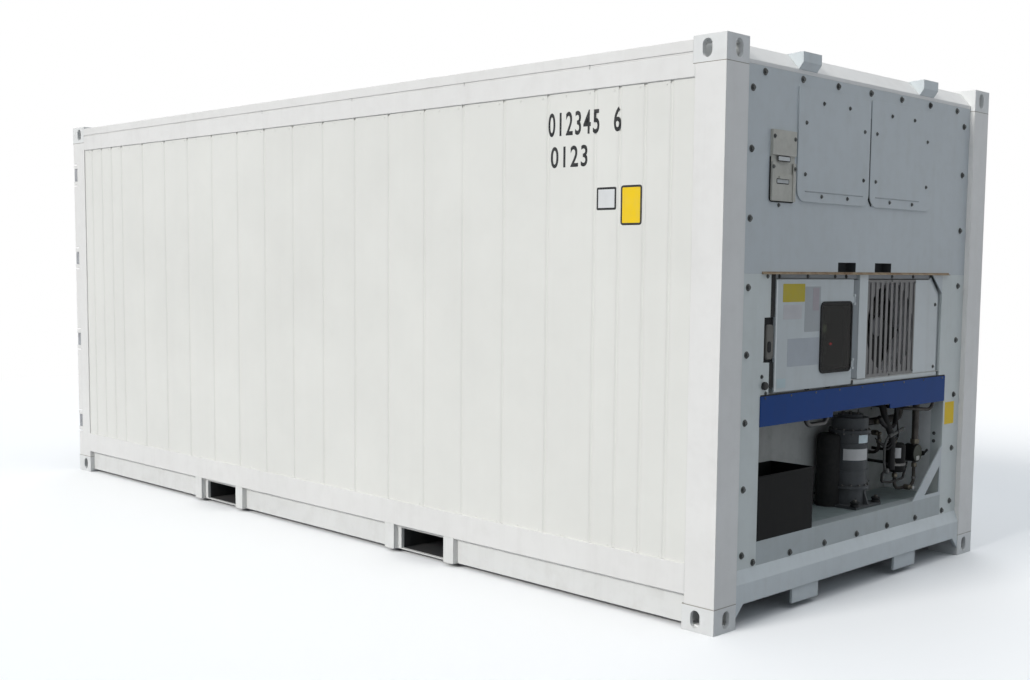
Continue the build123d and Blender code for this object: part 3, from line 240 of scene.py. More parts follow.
def piece(name, made, material, body="frame"):
    """A mesh object of a shape, at the origin, smooth but for its sharp edges, riding on a body."""
    points, corners, counts = made
    mesh = bpy.data.meshes.new(name)
    mesh.vertices.add(len(points))
    mesh.vertices.foreach_set("co", points.astype(np.float32).ravel())
    mesh.loops.add(len(corners))
    mesh.loops.foreach_set("vertex_index", corners.astype(np.int32))
    mesh.polygons.add(len(counts))
    mesh.polygons.foreach_set("loop_start", (np.cumsum(counts) - counts).astype(np.int32))
    mesh.update(calc_edges=True)
    mesh.shade_smooth()
    mesh.set_sharp_from_angle(angle=math.radians(38))
    mesh.materials.append(material)
    thing = bpy.data.objects.new(name, mesh)
    bpy.context.scene.collection.objects.link(thing)
    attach(thing, body)
    return thing


def along_x(section, start, end):
    """A bar along x. Its section is a row of (y, z) points that turn left, seen from +x."""
    section = np.array(section, float)
    return shell(np.stack([np.column_stack([np.full(len(section), x), section]) for x in (start, end)]))


sealant = [(1.211, 2.5181), (1.2165, 2.5181), (1.2165, 2.5259), (1.211, 2.5259)]
piece("rail_sealant", joined(along_x(sealant, -2.850, 2.861),
                             along_x([(-y, z) for y, z in sealant[::-1]], -2.850, 2.861)),
      frame_finish)
tick = prism([(-0.002, 0.0), (0.002, 0.0), (0.002, 0.022), (-0.002, 0.022)], 0.0006)
rail_joints = spots([-0.47, 0.438, 1.382, 2.25], -1.219 + 0.0006, 2.508)
piece("rail_joint_welds", joined(
    stand(tick, "-y", rail_joints), stand(tick, "+y", rail_joints * (1, -1, 1))),
    sprayed("weld_paint", (0.42, 0.42, 0.41), edge=0.001))

# Webs, fork pockets and cross members
# Folded steel under the floor. The pockets are tunnels that a fork truck's tines run into;
# they and the underside are coated dark against rust, the outside faces are white. The dark
# lining inside the pockets is partly that rust coat and partly painted shade for the dark depth
# of the tunnels.

dress(sprayed("web_paint", (0.75, 0.75, 0.73), blotches=0.14, gloss=0.42, edge=0.004),
      "bottom_rail_webs", "fork_pockets")
underseal_and_shade = sprayed("underseal_and_shade", (0.036, 0.038, 0.041), dirt=(0.10, 0.09, 0.08), blotches=0.5,
                    gloss=0.62, Specular_IOR_Level=0.3)
dress(underseal_and_shade, "cross_members")


def pocket_lining(reach, half, low, high, thick):
    """The dark coat in one pocket, part rust coat, part painted shade: a rectangular pipe along y, from
    -reach to reach.
    """
    outer = np.array([(-half, low), (half, low), (half, high), (-half, high)])
    middle = np.array([0.0, (low + high) / 2])
    inner = middle + (outer - middle) * (1 - thick / half, 1 - 2 * thick / (high - low))
    rings = [np.column_stack([edge[:, 0], np.full(4, y), edge[:, 1]])
             for edge, y in ((outer, reach), (outer, -reach), (inner, -reach), (inner, reach))]
    here = np.arange(16).reshape(4, 4)
    there, after = np.roll(here, -1, axis=1), np.roll(here, -1, axis=0)
    faces = np.stack([here, there, np.roll(there, -1, axis=0), after], -1).reshape(-1, 4)
    return shape(np.concatenate(rings), faces)


# Painted shade in part: near-black linings darken the inside of the pockets.
lining = pocket_lining(1.17, 0.1795, 0.0255, 0.1405, 0.0015)
piece("pocket_shade_linings", stand(lining, "+z", spots([-1.025, 1.025], 0, 0)), underseal_and_shade)

# Side walls
# Foam-filled walls with a skin of white coated sheet, riveted under the rails. Upright grooves
# are pressed in it; each is a soft dip with rolled edges, open at its upper end.

wall_finish = sprayed("white_paint", (0.745, 0.740, 0.700), dirt=(0.48, 0.46, 0.42), blotches=0.03,
                      streaks=0.04, gloss=0.33)
dress(wall_finish, "side_walls")
groove_x = np.arange(16) * 0.3047 - 2.28525
groove_x = np.concatenate([[-2.73525, -2.58525, -2.43525], groove_x, [2.43525, 2.58525, 2.73525]])
share = np.linspace(-0.5, 0.5, 13)
dip = np.column_stack([0.0198 * share, -1.2129 + 0.0041 * np.cos(np.pi * share) ** 2])
near = stand(prism([*dip, (0.0099, -1.207), (-0.0099, -1.207)], 2.107), "+z", spots(groove_x, 0, 0.297))
piece("wall_groove_dips", joined(near, (near[0] * (-1, -1, 1), *near[1:])), wall_finish)


def turned(profile, sides=16):
    """A solid turned round z: each (radius, height) of the profile is a ring of that many sides."""
    radius, height = np.array(profile, float).T
    angle = np.arange(sides) * 2 * np.pi / sides
    ring = np.stack([np.cos(angle), np.sin(angle)], -1)
    flat = radius[:, None, None] * ring
    return shell(np.concatenate([flat, np.broadcast_to(height[:, None, None], (*flat.shape[:2], 1))], -1))


def rivet(radius, rise):
    """A low round head, flatter towards its middle."""
    return turned([(radius, 0), (0.92 * radius, 0.45 * rise), (0.68 * radius, 0.82 * rise),
                   (0.3 * radius, rise)], 10)


rivet_x = np.arange(-2.78, 2.8, 0.15236)
wall_rivets = spots(np.tile(rivet_x, 2), -1.213, np.repeat([0.304, 2.401], len(rivet_x)))
piece("wall_rivets", joined(stand(rivet(0.005, 0.0016), "-y", wall_rivets),
                            stand(rivet(0.005, 0.0016), "+y", wall_rivets * (1, -1, 1))),
      wall_finish)

# Figures and plates on the long side
# Cut figures of black vinyl, and two plain vinyl plates stuck to the wall: a white one and a
# yellow one, each with a black rim.


def moulded():
    """Moulded plastic, vinyl or rubber. Dust lies where fine noise is high, more so on edges;
    the height is a fine grain."""
    tree, given, out = effect("moulded", ("Body", "Dust"), ("Dusty", "Polish", "Grain", "Edge"))
    place = add(tree, "TexCoord", {}).outputs["Object"]
    soft, edges = eased(tree, given)
    clouds = noise(tree, place, 25.0, 6.0)
    dust = maths(tree, "MULTIPLY_ADD", edges, 0.5, band(tree, clouds, 0.4, 0.8))
    dust = maths(tree, "MULTIPLY", given["Dusty"], dust)
    drift = maths(tree, "MULTIPLY_ADD", noise(tree, place, 6.0, 2.0), 0.16, 0.92)
    body = add(tree, "HueSaturation", {"Color": given["Body"], "Value": drift}).outputs[0]
    feed(out["Colour"], mixed(tree, maths(tree, "MINIMUM", dust, 1.0), body, given["Dust"]))
    feed(out["Roughness"], maths(tree, "MULTIPLY_ADD", dust, 0.4, given["Polish"]))
    height = maths(tree, "MULTIPLY", noise(tree, place, 700.0, 2.0), given["Grain"])
    feeds = {"Strength": 0.6, "Distance": 0.0006, "Height": height, "Normal": soft}
    feed(out["Normal"], add(tree, "Bump", feeds).outputs[0])
    return tree


MOULDED = moulded()
PALE_DUST = (0.35, 0.34, 0.32)


def plastic(name, body, dust=PALE_DUST, dusty=0.1, polish=0.6, grain=0.5, edge=0.001, **shader):
    """Moulded plastic, vinyl or rubber of that colour. Dusty says how much dust lies on it,
    polish how rough it is, grain how coarse, and edge how wide its worn edges are."""
    looks = {"Body": body, "Dust": dust, "Dusty": dusty, "Polish": polish, "Grain": grain, "Edge": edge}
    return finish(name, MOULDED, looks, **shader)


def vinyl(name, body):
    """Thin vinyl of that colour, hardly dusty."""
    return plastic(name, body, dusty=0.12, polish=0.45, grain=0.2, edge=0.0008,
                   Specular_IOR_Level=0.2)


black_vinyl = vinyl("black_vinyl", (0.022, 0.023, 0.025))
white_vinyl = vinyl("white_vinyl", (0.70, 0.71, 0.71))
yellow_vinyl = vinyl("yellow_vinyl", (0.86, 0.58, 0.015))


def figures(name, text, left, right, low, high, outside):
    """Cut vinyl figures as a mesh, squeezed to fill that field of the wall."""
    letters = bpy.data.curves.new(name, "FONT")
    letters.body, letters.extrude, letters.offset, letters.space_character = text, 0.004, 0.016, 1.2
    drawn = bpy.data.objects.new(name, letters)
    bpy.context.scene.collection.objects.link(drawn)
    bpy.context.view_layer.update()
    mesh = bpy.data.meshes.new_from_object(drawn)
    bpy.data.objects.remove(drawn)
    flat = np.empty(len(mesh.vertices) * 3, np.float32)
    mesh.vertices.foreach_get("co", flat)
    flat = flat.reshape(-1, 3)
    share = (flat - flat.min(0)) / np.ptp(flat, axis=0)
    placed = np.stack([left + share[:, 0] * (right - left), outside - 0.0006 * share[:, 2],
                       low + share[:, 1] * (high - low)], -1)
    mesh.vertices.foreach_set("co", placed.astype(np.float32).ravel())
    mesh.materials.clear()
    mesh.materials.append(black_vinyl)
    thing = bpy.data.objects.new(name, mesh)
    bpy.context.scene.collection.objects.link(thing)
    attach(thing, "frame")


figures("wall_figures", "012345  6", 1.982, 2.442, 2.216, 2.328, -1.213)
figures("wall_figures_below", "0123", 2.000, 2.238, 2.068, 2.168, -1.213)


def plate(wide, high, turn, thick, ease=0.0006, steps=5):
    """A flat plate about its middle: four quarter circles of radius turn joined by straight
    sides. The last ring steps inwards, which cuts the front edge at 45 degrees."""
    angle = np.linspace(0, np.pi / 2, steps)[None] + np.arange(4)[:, None] * np.pi / 2
    sign = np.array([(1, 1), (-1, 1), (-1, -1), (1, -1)])[:, None]
    middle = sign * (np.array([wide, high]) / 2 - turn)
    ray = np.stack([np.cos(angle), np.sin(angle)], -1)
    rings = [np.column_stack([(middle + (turn - inset) * ray).reshape(-1, 2),
                              np.full(4 * steps, rise)])
             for inset, rise in ((0, 0), (0, thick - ease), (ease, thick))]
    return shell(np.stack(rings))


def rimmed(name, middle, way, wide, high, turn, rim, back, front, outwards, body="frame"):
    """A plate with a rim of another colour: the rim's plate, and the field's plate on it."""
    place = np.array([middle], float)
    piece(name + "_rim", stand(plate(wide, high, turn, 0.0006, 0.0002), way, place), back, body)
    inner = plate(wide - 2 * rim, high - 2 * rim, max(turn - rim, 0.002), 0.0004, 0.0001)
    piece(name, stand(inner, way, place + np.array(outwards) * 0.0006), front, body)


rimmed("mark_plate", (2.360, -1.213, 1.915), "-y", 0.120, 0.104, 0.008, 0.010,
       black_vinyl, white_vinyl, (0, -1, 0))
rimmed("yellow_plate", (2.511, -1.213, 1.882), "-y", 0.126, 0.180, 0.014, 0.010,
       black_vinyl, yellow_vinyl, (0, -1, 0))

# Roof
# One foam-filled panel with a skin of coated sheet. Cover strips over its cross seams are
# riveted down and sealed.

dress(wall_finish, "roof_panel")
seams = np.linspace(-2.25, 2.25, 5)
strip = plate(0.05, 2.27, 0.004, 0.0015)
roof_rivets = spots(np.repeat(np.concatenate([seams - 0.016, seams + 0.016]), 30),
                    np.tile(np.linspace(-1.11, 1.11, 30), 10), 2.5775)
piece("roof_seams", joined(stand(strip, "+z", spots(seams, 0, 2.576)),
                           stand(rivet(0.005, 0.002), "+z", roof_rivets)), wall_finish)

# Floor, grating and inner lining
# T-shaped aluminium extrusions stand on the floor so that cold air runs under the load. The
# lining at the unit's end is stainless sheet; a red line on the walls marks how high to load.


def bare_metal():
    """Bare or galvanised metal. Spangle is the shade of Voronoi cells, brushing a noise stretched
    along x, and tarnish a cloudy noise; the height is the brushing."""
    tree, given, out = effect("bare_metal", ("Metal", "Tarnish"),
                              ("Tarnished", "Spangle", "Polish", "Edge"))
    place = add(tree, "TexCoord", {}).outputs["Object"]
    soft, edges = eased(tree, given)
    cells = add(tree, "TexVoronoi", {"Vector": place, "Scale": 70.0}).outputs["Color"]
    shade = add(tree, "SeparateColor", {0: cells}).outputs[0]
    lines = noise(tree, place, 6.0, 3.0, (1.0, 60.0, 60.0))
    clouds = noise(tree, place, 18.0, 6.0)
    tone = maths(tree, "MULTIPLY_ADD", shade, given["Spangle"], 0.92)
    tone = maths(tree, "MULTIPLY_ADD", lines, 0.12, tone)
    metal = add(tree, "HueSaturation", {"Color": given["Metal"], "Value": tone}).outputs[0]
    stain = maths(tree, "MULTIPLY", given["Tarnished"], band(tree, clouds, 0.42, 0.72))
    feed(out["Colour"], mixed(tree, stain, metal, given["Tarnish"]))
    rough = maths(tree, "MULTIPLY_ADD", stain, 0.4, given["Polish"])
    feed(out["Roughness"], maths(tree, "MULTIPLY_ADD", edges, -0.08, rough))
    feeds = {"Strength": 0.3, "Distance": 0.0004, "Height": lines, "Normal": soft}
    feed(out["Normal"], add(tree, "Bump", feeds).outputs[0])
    return tree


METAL = bare_metal()


def metalwork(name, metal, tarnish, tarnished=0.8, spangle=0.0, polish=0.45, edge=0.001, **shader):
    """Bare or plated metal of one colour, tarnished to another. Spangle says how much its grains
    differ, polish how rough it is, and edge how wide its worn edges are."""
    looks = {"Metal": metal, "Tarnish": tarnish, "Tarnished": tarnished, "Spangle": spangle,
             "Polish": polish, "Edge": edge}
    return finish(name, METAL, looks, **shader)


dress(metalwork("floor_aluminium", (0.74, 0.75, 0.76), (0.40, 0.40, 0.39), tarnished=0.5,
                polish=0.36, Metallic=1.0), "t_bar_floor")
dress(metalwork("liner_steel", (0.66, 0.67, 0.67), (0.45, 0.45, 0.44), tarnished=0.3, polish=0.3,
                edge=0.002, Metallic=1.0), "air_liner")
dress(sprayed("floor_coat", (0.20, 0.21, 0.22), streaks=0.0, gloss=0.6), "floor_panel")
load_line = plate(5.3, 0.03, 0.002, 0.0008, 0.0002)
piece("load_lines", joined(stand(load_line, "+y", spots(-0.15, -1.147, 2.33)),
                           stand(load_line, "-y", spots(-0.15, 1.147, 2.33))),
      vinyl("red_vinyl", (0.55, 0.03, 0.02)))

# Sill, header and lashing lugs
# Folded plate across both ends, welded between the castings. Lugs are welded on to lash and
# guide the box when others stand round it: wedges on the header, thin plates under the sill.

dress(frame_finish, "front_top_rail", "door_header")
dress(sprayed("sill_paint", (0.61, 0.655, 0.67), blotches=0.1, gloss=0.4, edge=0.006),
      "front_bottom_rail", "door_sill", "lashing_lugs")

# End panels of the cooling unit
# The unit is one insulated aluminium shell in the container's end, sprayed a cool pale grey
# and bolted through its rim. A thin drip ledge lies over the machinery bay.

unit_finish = sprayed("unit_paint", (0.51, 0.55, 0.57), dirt=(0.36, 0.35, 0.30), blotches=0.15,
                      streaks=0.09, gloss=0.40)
dress(unit_finish, "unit_upper_panel", "access_panels", "bay_corner_plates")
dress(sprayed("strip_paint", (0.39, 0.43, 0.44), dirt=(0.26, 0.25, 0.22), blotches=0.2,
              streaks=0.16, gloss=0.42), "unit_lower_strip")
dress(sprayed("stile_paint", (0.60, 0.64, 0.63), dirt=(0.36, 0.35, 0.30), blotches=0.12,
              streaks=0.16, gloss=0.40), "unit_stiles")

bolt = joined(turned([(0.0165, 0), (0.0165, 0.0018), (0.0150, 0.0026)], 20),
              turned([(0.0100, 0.0022), (0.0105, 0.0030), (0.0105, 0.0090), (0.0088, 0.0104)], 6))
small_bolt = joined(turned([(0.0100, 0), (0.0100, 0.0014), (0.0090, 0.0020)], 16),
                    turned([(0.0066, 0.0016), (0.0066, 0.0058), (0.0056, 0.0068)], 6))
bolt_finish = metalwork("zinc_bolts", (0.075, 0.08, 0.08), (0.025, 0.026, 0.025), spangle=0.2,
                        polish=0.35, Metallic=0.6, Specular_IOR_Level=0.3)
UNIT_FACE = 3.002
column = [2.386, 2.124, 1.822, 1.519, 1.221, 0.918, 0.618, 0.319]
row = np.arange(-0.9, 0.95, 0.3)
piece("unit_rim_bolts", stand(bolt, "+x", np.concatenate([
    spots(UNIT_FACE, -0.988, column), spots(UNIT_FACE, 0.988, column),
    spots(UNIT_FACE, row, 2.463), spots(UNIT_FACE, row, 0.275)])), bolt_finish)


def along_y(section, start, end):
    """A bar along y. Its section is a row of (x, z) points that turn right, seen from -y."""
    section = np.array(section, float)
    rings = [np.column_stack([section[:, 0], np.full(len(section), y),
                              section[:, 1]]) for y in (start, end)]
    return shell(np.stack(rings))


ledge = [(3.002, 1.578), (3.002, 1.590), (3.006, 1.590), (3.006, 1.583), (3.014, 1.581), (3.014, 1.578)]
piece("drip_ledge", along_y(ledge, -0.885, 0.873),
      metalwork("ledge_metal", (0.30, 0.23, 0.15), (0.20, 0.12, 0.07), tarnished=0.9, spangle=0.1,
                polish=0.6, Metallic=0.2))


def open_box(wide, high, deep, thick):
    """A box that is open at its front: out along its outside and back along its inside."""
    corner = np.array([(-1, -1), (1, -1), (1, 1), (-1, 1)]) / 2
    rings = [np.column_stack([corner * (wide - 2 * inset, high - 2 * inset), np.full(4, rise)])
             for inset, rise in ((0, 0), (0, deep), (thick, deep), (thick, thick))]
    return shell(np.stack(rings))


piece("fork_slot_linings", stand(open_box(0.1616, 0.0456, 0.0544, 0.001), "+x", spots(
    2.9472, [-0.172, 0.172], 1.613)),
    sprayed("slot_lining", (0.075, 0.078, 0.080), dirt=(0.16, 0.15, 0.13), blotches=0.4, gloss=0.6,
            edge=0.002, Specular_IOR_Level=0.1))

# Access panels
# Two insulated lids over the evaporator, side by side, bolted down on a rubber gasket that
# shows as a dark line between them. A pressed bead runs along the foot of each.

LID_FACE = 3.009
lid_bolts = [(side * 0.315 + step, high) for side in (-1, 1) for step, high in (
    (-0.257, 2.271), (0.257, 2.271), (-0.257, 2.037), (0.257, 2.037),
    (-0.114, 2.370), (0.114, 2.370), (-0.114, 1.941), (0.114, 1.941))]
piece("access_panel_bolts", stand(small_bolt, "+x", np.array(
    [(LID_FACE, across_y, high) for across_y, high in lid_bolts])), bolt_finish)


def bent(corners, turn, steps=5):
    """A path through corners, each rounded by a parabola that starts and ends turn away from it."""
    corners = np.array(corners, float)
    middle = corners[1:-1, None]
    before, after = corners[:-2, None] - middle, corners[2:, None] - middle
    start = middle + turn * before / np.linalg.norm(before, axis=-1, keepdims=True)
    end = middle + turn * after / np.linalg.norm(after, axis=-1, keepdims=True)
    share = np.linspace(0, 1, steps)[None, :, None]
    arcs = (1 - share) ** 2 * start + 2 * share * (1 - share) * middle + share ** 2 * end
    return np.concatenate([corners[:1], arcs.reshape(-1, 3), corners[-1:]])


def tube(path, radius, sides=10):
    """A round rod along a path. Each ring lies across the path's direction there, set out from
    one slanting line that no run of the path follows."""
    ahead = np.gradient(path, axis=0)
    ahead /= np.linalg.norm(ahead, axis=1, keepdims=True)
    first = np.cross(ahead, (0.31, 0.53, 0.79))
    first /= np.linalg.norm(first, axis=1, keepdims=True)
    second = np.cross(ahead, first)
    angle = np.arange(sides)[None, :, None] * 2 * np.pi / sides
    ring = np.cos(angle) * first[:, None] + np.sin(angle) * second[:, None]
    return shell(path[:, None] + radius * ring)


gasket = plastic("gasket_rubber", (0.014, 0.015, 0.016), Specular_IOR_Level=0.1)
piece("access_panel_gasket", tube(bent([
    (3.004, 0, 2.34), (3.004, 0, 1.95), (3.004, 0.03, 1.916)], 0.02), 0.0035), gasket)
beads = [tube(np.array([(LID_FACE + 0.0005, start, 1.960), (LID_FACE + 0.0005, end, 1.960)]), 0.0024)
         for start, end in ((-0.57, -0.06), (0.06, 0.50))]
piece("access_panel_beads", joined(*beads), sprayed("bead_paint", (0.30, 0.33, 0.35), edge=0.001))

# Fresh air vent
# A moulded cover of warm grey plastic with a shutter that slides up in its guides and is held
# by friction. Screws hold it, and a rubber edge seals it below.

vent_finish = plastic("vent_plastic", (0.50, 0.49, 0.44), dust=(0.30, 0.29, 0.25), dusty=0.35,
                      polish=0.5, edge=0.002)
dress(vent_finish, "vent_housing", "vent_slide")
piece("vent_screws", stand(small_bolt, "+x", np.array([
    (3.017, -0.834, 2.190), (3.017, -0.671, 2.186), (3.017, -0.838, 2.056), (3.017, -0.666, 2.053),
    (3.002, -0.770, 1.888)])), bolt_finish)
piece("vent_edge", tube(bent([
    (3.005, -0.848, 2.10), (3.005, -0.848, 1.903), (3.005, -0.656, 1.903), (3.005, -0.656, 2.0)],
    0.018), 0.003), gasket)
piece("vent_side_seal", tube(np.array([(3.006, -0.6555, 2.215), (3.006, -0.6555, 2.12)]), 0.0055), gasket)
clear_plastic = vinyl("pale_plastic", (0.62, 0.63, 0.62))
rimmed("vent_clip", (3.017, -0.757, 2.094), "+x", 0.098, 0.026, 0.006, 0.004,
       gasket, clear_plastic, (1, 0, 0))
rimmed("vent_pull_plate", (3.0125, -0.757, 1.994), "+x", 0.098, 0.024, 0.006, 0.004,
       gasket, clear_plastic, (1, 0, 0), "vent_slide")

# Control box
# A sheet steel box with a hinged door of the same sheet. Its labels are plain vinyl, and a
# rubber strip holds the window. Behind it sits the controller with display, keys and lamps.

door_finish = sprayed("control_door_paint", (0.52, 0.56, 0.57), dirt=(0.34, 0.33, 0.29),
                      blotches=0.12, streaks=0.16, gloss=0.38, edge=0.004)
dress(door_finish, "control_box", "control_door", "control_box_rests")
dress(plastic("dark_glass", (0.085, 0.09, 0.08), dust=(0.02, 0.02, 0.02), polish=0.06, grain=0.0,
              edge=0.002, Transmission_Weight=0.94, IOR=1.16), "control_window")
dress(plastic("controller_plastic", (0.022, 0.023, 0.023), dust=(0.10, 0.10, 0.09), dusty=0.15,
              grain=0.6, edge=0.003, Specular_IOR_Level=0.1), "controller_panel")

DOOR_FRONT = 3.0


def label(name, left, right, low, high, material, x=DOOR_FRONT, body="control_door"):
    """A bare label on a face that looks along x."""
    flat = plate(right - left, high - low, 0.004, 0.0004, 0.0001)
    piece(name, stand(flat, "+x", spots(x, (left + right) / 2, (low + high) / 2)), material, body)


label("box_label_yellow", -0.712, -0.530, 1.451, 1.535, vinyl("label_yellow", (0.50, 0.40, 0.035)))
label("box_label_wide", -0.528, -0.394, 1.310, 1.522, vinyl("label_grey", (0.40, 0.42, 0.43)))
label("box_label_rose", -0.462, -0.408, 1.409, 1.516, vinyl("label_rose", (0.40, 0.36, 0.38)),
      DOOR_FRONT + 0.0004)
label("box_label_low", -0.664, -0.399, 1.152, 1.282, vinyl("label_cool", (0.44, 0.47, 0.50)))
label("box_label_small", -0.705, -0.552, 1.372, 1.438, vinyl("label_pale", (0.55, 0.54, 0.55)))
label("box_label_blue", -0.744, -0.672, 1.058, 1.100, vinyl("label_blue", (0.50, 0.60, 0.62)))
fold = prism([(0, 0), (0.003, 0), (0.0018, 0.011), (0, 0.014)], 0.508)
fold = (fold[0] + (DOOR_FRONT, -0.7665, 1.044), *fold[1:])
piece("control_door_fold", fold,
      sprayed("fold_paint", (0.70, 0.73, 0.73), blotches=0.1, gloss=0.36, edge=0.002),
      "control_door")


def ringed(outside, inside):
    """A flat ring between the outlines of two plates that are equally thick, closed at back and
    front."""
    outer, inner = outside[0].reshape(3, -1, 3), inside[0].reshape(3, -1, 3)
    rings = np.stack([outer[0], outer[1], outer[2], inner[2], inner[0]])
    here = np.arange(rings.shape[0] * rings.shape[1]).reshape(rings.shape[:2])
    there, after = np.roll(here, -1, axis=1), np.roll(here, -1, axis=0)
    faces = np.stack([here, there, np.roll(there, -1, axis=0), after], -1).reshape(-1, 4)
    return shape(rings.reshape(-1, 3), faces)


piece("window_rubber", stand(ringed(plate(0.284, 0.344, 0.030, 0.0065),
                                    plate(0.264, 0.324, 0.020, 0.0065)),
                             "+x", spots(DOOR_FRONT, -0.252, 1.278)), gasket, "control_door")
PANEL_FRONT = 2.959
key_finish = vinyl("key_plastic", (0.32, 0.33, 0.32))
piece("controller_keys", stand(plate(0.018, 0.012, 0.003, 0.003), "+x", spots(
    PANEL_FRONT, np.tile([-0.345, -0.315, -0.285], 4), np.repeat([1.20, 1.225, 1.25, 1.275], 3))),
    key_finish)
piece("controller_cover", stand(plate(0.12, 0.10, 0.008, 0.006), "+x",
                                spots(PANEL_FRONT, -0.310, 1.395)), key_finish)
piece("controller_display", stand(plate(0.085, 0.035, 0.003, 0.003), "+x",
                                  spots(PANEL_FRONT, -0.318, 1.318)),
      plastic("display_glow", (0.20, 0.22, 0.18), polish=0.3, grain=0.0,
              Emission_Color=(0.55, 0.60, 0.42, 1.0), Emission_Strength=0.5))
lamp_dome = turned([(0.006, 0), (0.006, 0.004), (0.0045, 0.007), (0.002, 0.0085)], 12)
for lamp_name, colour, power, place in (
        ("red_lamp", (1.0, 0.03, 0.05), 2.0, (PANEL_FRONT, -0.235, 1.242)),
        ("green_lamp", (0.25, 0.9, 0.2), 0.25, (PANEL_FRONT, -0.345, 1.160))):
    piece(lamp_name, stand(lamp_dome, "+x", np.array([place])),
          plastic(lamp_name + "_lens", colour, dusty=0.05, polish=0.2, grain=0.0,
                  Emission_Color=(*colour, 1.0), Emission_Strength=power))

# Machinery bay
# The open space round the machines: back wall, cheeks, floor and ceiling of coated sheet, the
# folded column, the side panel with its flange and the shelf with its lip. A strip under the
# panel above and rubber seals close the gaps round the control box.

dress(sprayed("bay_wall_coat", (0.46, 0.465, 0.445), dirt=(0.20, 0.19, 0.17), blotches=0.35,
              streaks=0.25), "bay_back", "bay_shelf")
# Painted light: the cheeks take a far lighter copy of the bay coat, since no lamp reaches them.
dress(sprayed("bay_cheek_coat_painted_light", (0.86, 0.87, 0.86), dirt=(0.30, 0.29, 0.26), blotches=0.15,
              streaks=0.2, gloss=0.45), "bay_sides")
# Painted shade: the floor and ceiling take a dark copy of the bay coat for the dim light there.
dress(sprayed("bay_floor_coat_painted_shade", (0.26, 0.31, 0.31), dirt=(0.12, 0.12, 0.11), blotches=0.4,
              streaks=0.0, gloss=0.42), "bay_floor_and_ceiling")
side_finish = sprayed("column_paint", (0.60, 0.635, 0.64), dirt=(0.34, 0.33, 0.29), blotches=0.1,
                      streaks=0.14, gloss=0.36, edge=0.005)
dress(side_finish, "bay_column", "condenser_side_panel")
head = [(2.972, 1.5580), (2.972, 1.5796), (2.982, 1.5796), (2.982, 1.5580)]
lip = [(2.9900, 1.0325), (2.9900, 1.0560), (2.9938, 1.0560), (2.9938, 1.0325)]
piece("head_strips", joined(along_y(head, -0.784, -0.042), along_y(head, 0.042, 0.700)),
      sprayed("strip_coat", (0.36, 0.375, 0.39), blotches=0.2, edge=0.002))
piece("head_strip_bolts", stand(small_bolt, "+x", spots(
    [UNIT_FACE] + [2.982] * 6, [-0.84, -0.718, -0.484, -0.245, -0.144, 0.30, 0.52], 1.5688)), bolt_finish)
piece("shelf_lip", along_y(lip, -0.066, 0.790), side_finish)
seal = plate(0.037, 1.0, 0.002, 0.012, 0.002)
piece("box_side_seal", joined(*(stand((seal[0] * (1, size, 1), *seal[1:]), "+x",
                                      spots(2.988, -0.7895, middle))
                                for size, middle in ((0.116, 1.120), (0.192, 1.482)))), gasket)
flange = along_x([(0.7785, 1.063), (0.8035, 1.063), (0.8035, 1.4755), (0.7125, 1.5665), (0.688, 1.554),
                  (0.7785, 1.4645)], 2.9830, 2.9850)
piece("side_panel_flange", flange, side_finish)
BAY_FACE = 2.66
piece("bay_rivets", stand(rivet(0.006, 0.003), "+x", spots(
    BAY_FACE, np.tile(np.arange(-0.98, 1.0, 0.14), 2), np.repeat([0.42, 0.83], 15))), bolt_finish)
piece("stile_inner_bolts", stand(small_bolt, "-y", spots(2.953, 0.875, [0.705, 0.662])), bolt_finish)
piece("side_panel_bolts", stand(small_bolt, "+x", np.array([
    (2.993, 0.752, 1.420), (2.993, 0.752, 1.085)])), bolt_finish)
# Painted shade: the column's slanted flank takes a darker copy of the column paint.
flank = prism([(2.994, -0.0405), (2.992, -0.0405), (2.964, -0.0705), (2.966, -0.072)][::-1], 0.49)
piece("column_flank", (flank[0] + (0, 0, 1.063), *flank[1:]),
      sprayed("flank_painted_shade", (0.34, 0.37, 0.39), blotches=0.2, streaks=0.2, gloss=0.45, edge=0.001))
label("back_wall_label", -0.56, -0.47, 0.690, 0.800, vinyl("label_old", (0.34, 0.39, 0.40)),
      BAY_FACE, "frame")

# Cover band
# A folded steel strip across the bay, sprayed plain blue. Its top edge is folded back over a
# dark rubber strip and held by small screws.

dress(sprayed("blue_paint", (0.010, 0.053, 0.22), dirt=(0.04, 0.06, 0.12), blotches=0.12,
              streaks=0.14, gloss=0.42, Specular_IOR_Level=0.08), "cover_band")
piece("band_edge", tube(np.array([(3.001, -0.872, 1.0305), (3.001, 0.0, 1.0305), (3.001, 0.872, 1.0305)]),
                        0.0045), gasket)
piece("band_screws", stand(rivet(0.0055, 0.0035), "+x", spots(
    3.006, np.arange(-0.84, 0.9, 0.21), 1.019)), bolt_finish)

# Condenser fan, coil and guard
# A moulded fan wheel on a small motor in a sheet steel box. Upright slats guard its round mouth,
# which is cut in a thin plate. The coil behind it is copper pipe through thin aluminium fins.

dress(sprayed("guard_paint", (0.160, 0.156, 0.153), dirt=(0.10, 0.095, 0.085), streaks=0.2,
              gloss=0.45, edge=0.002), "fan_grille")
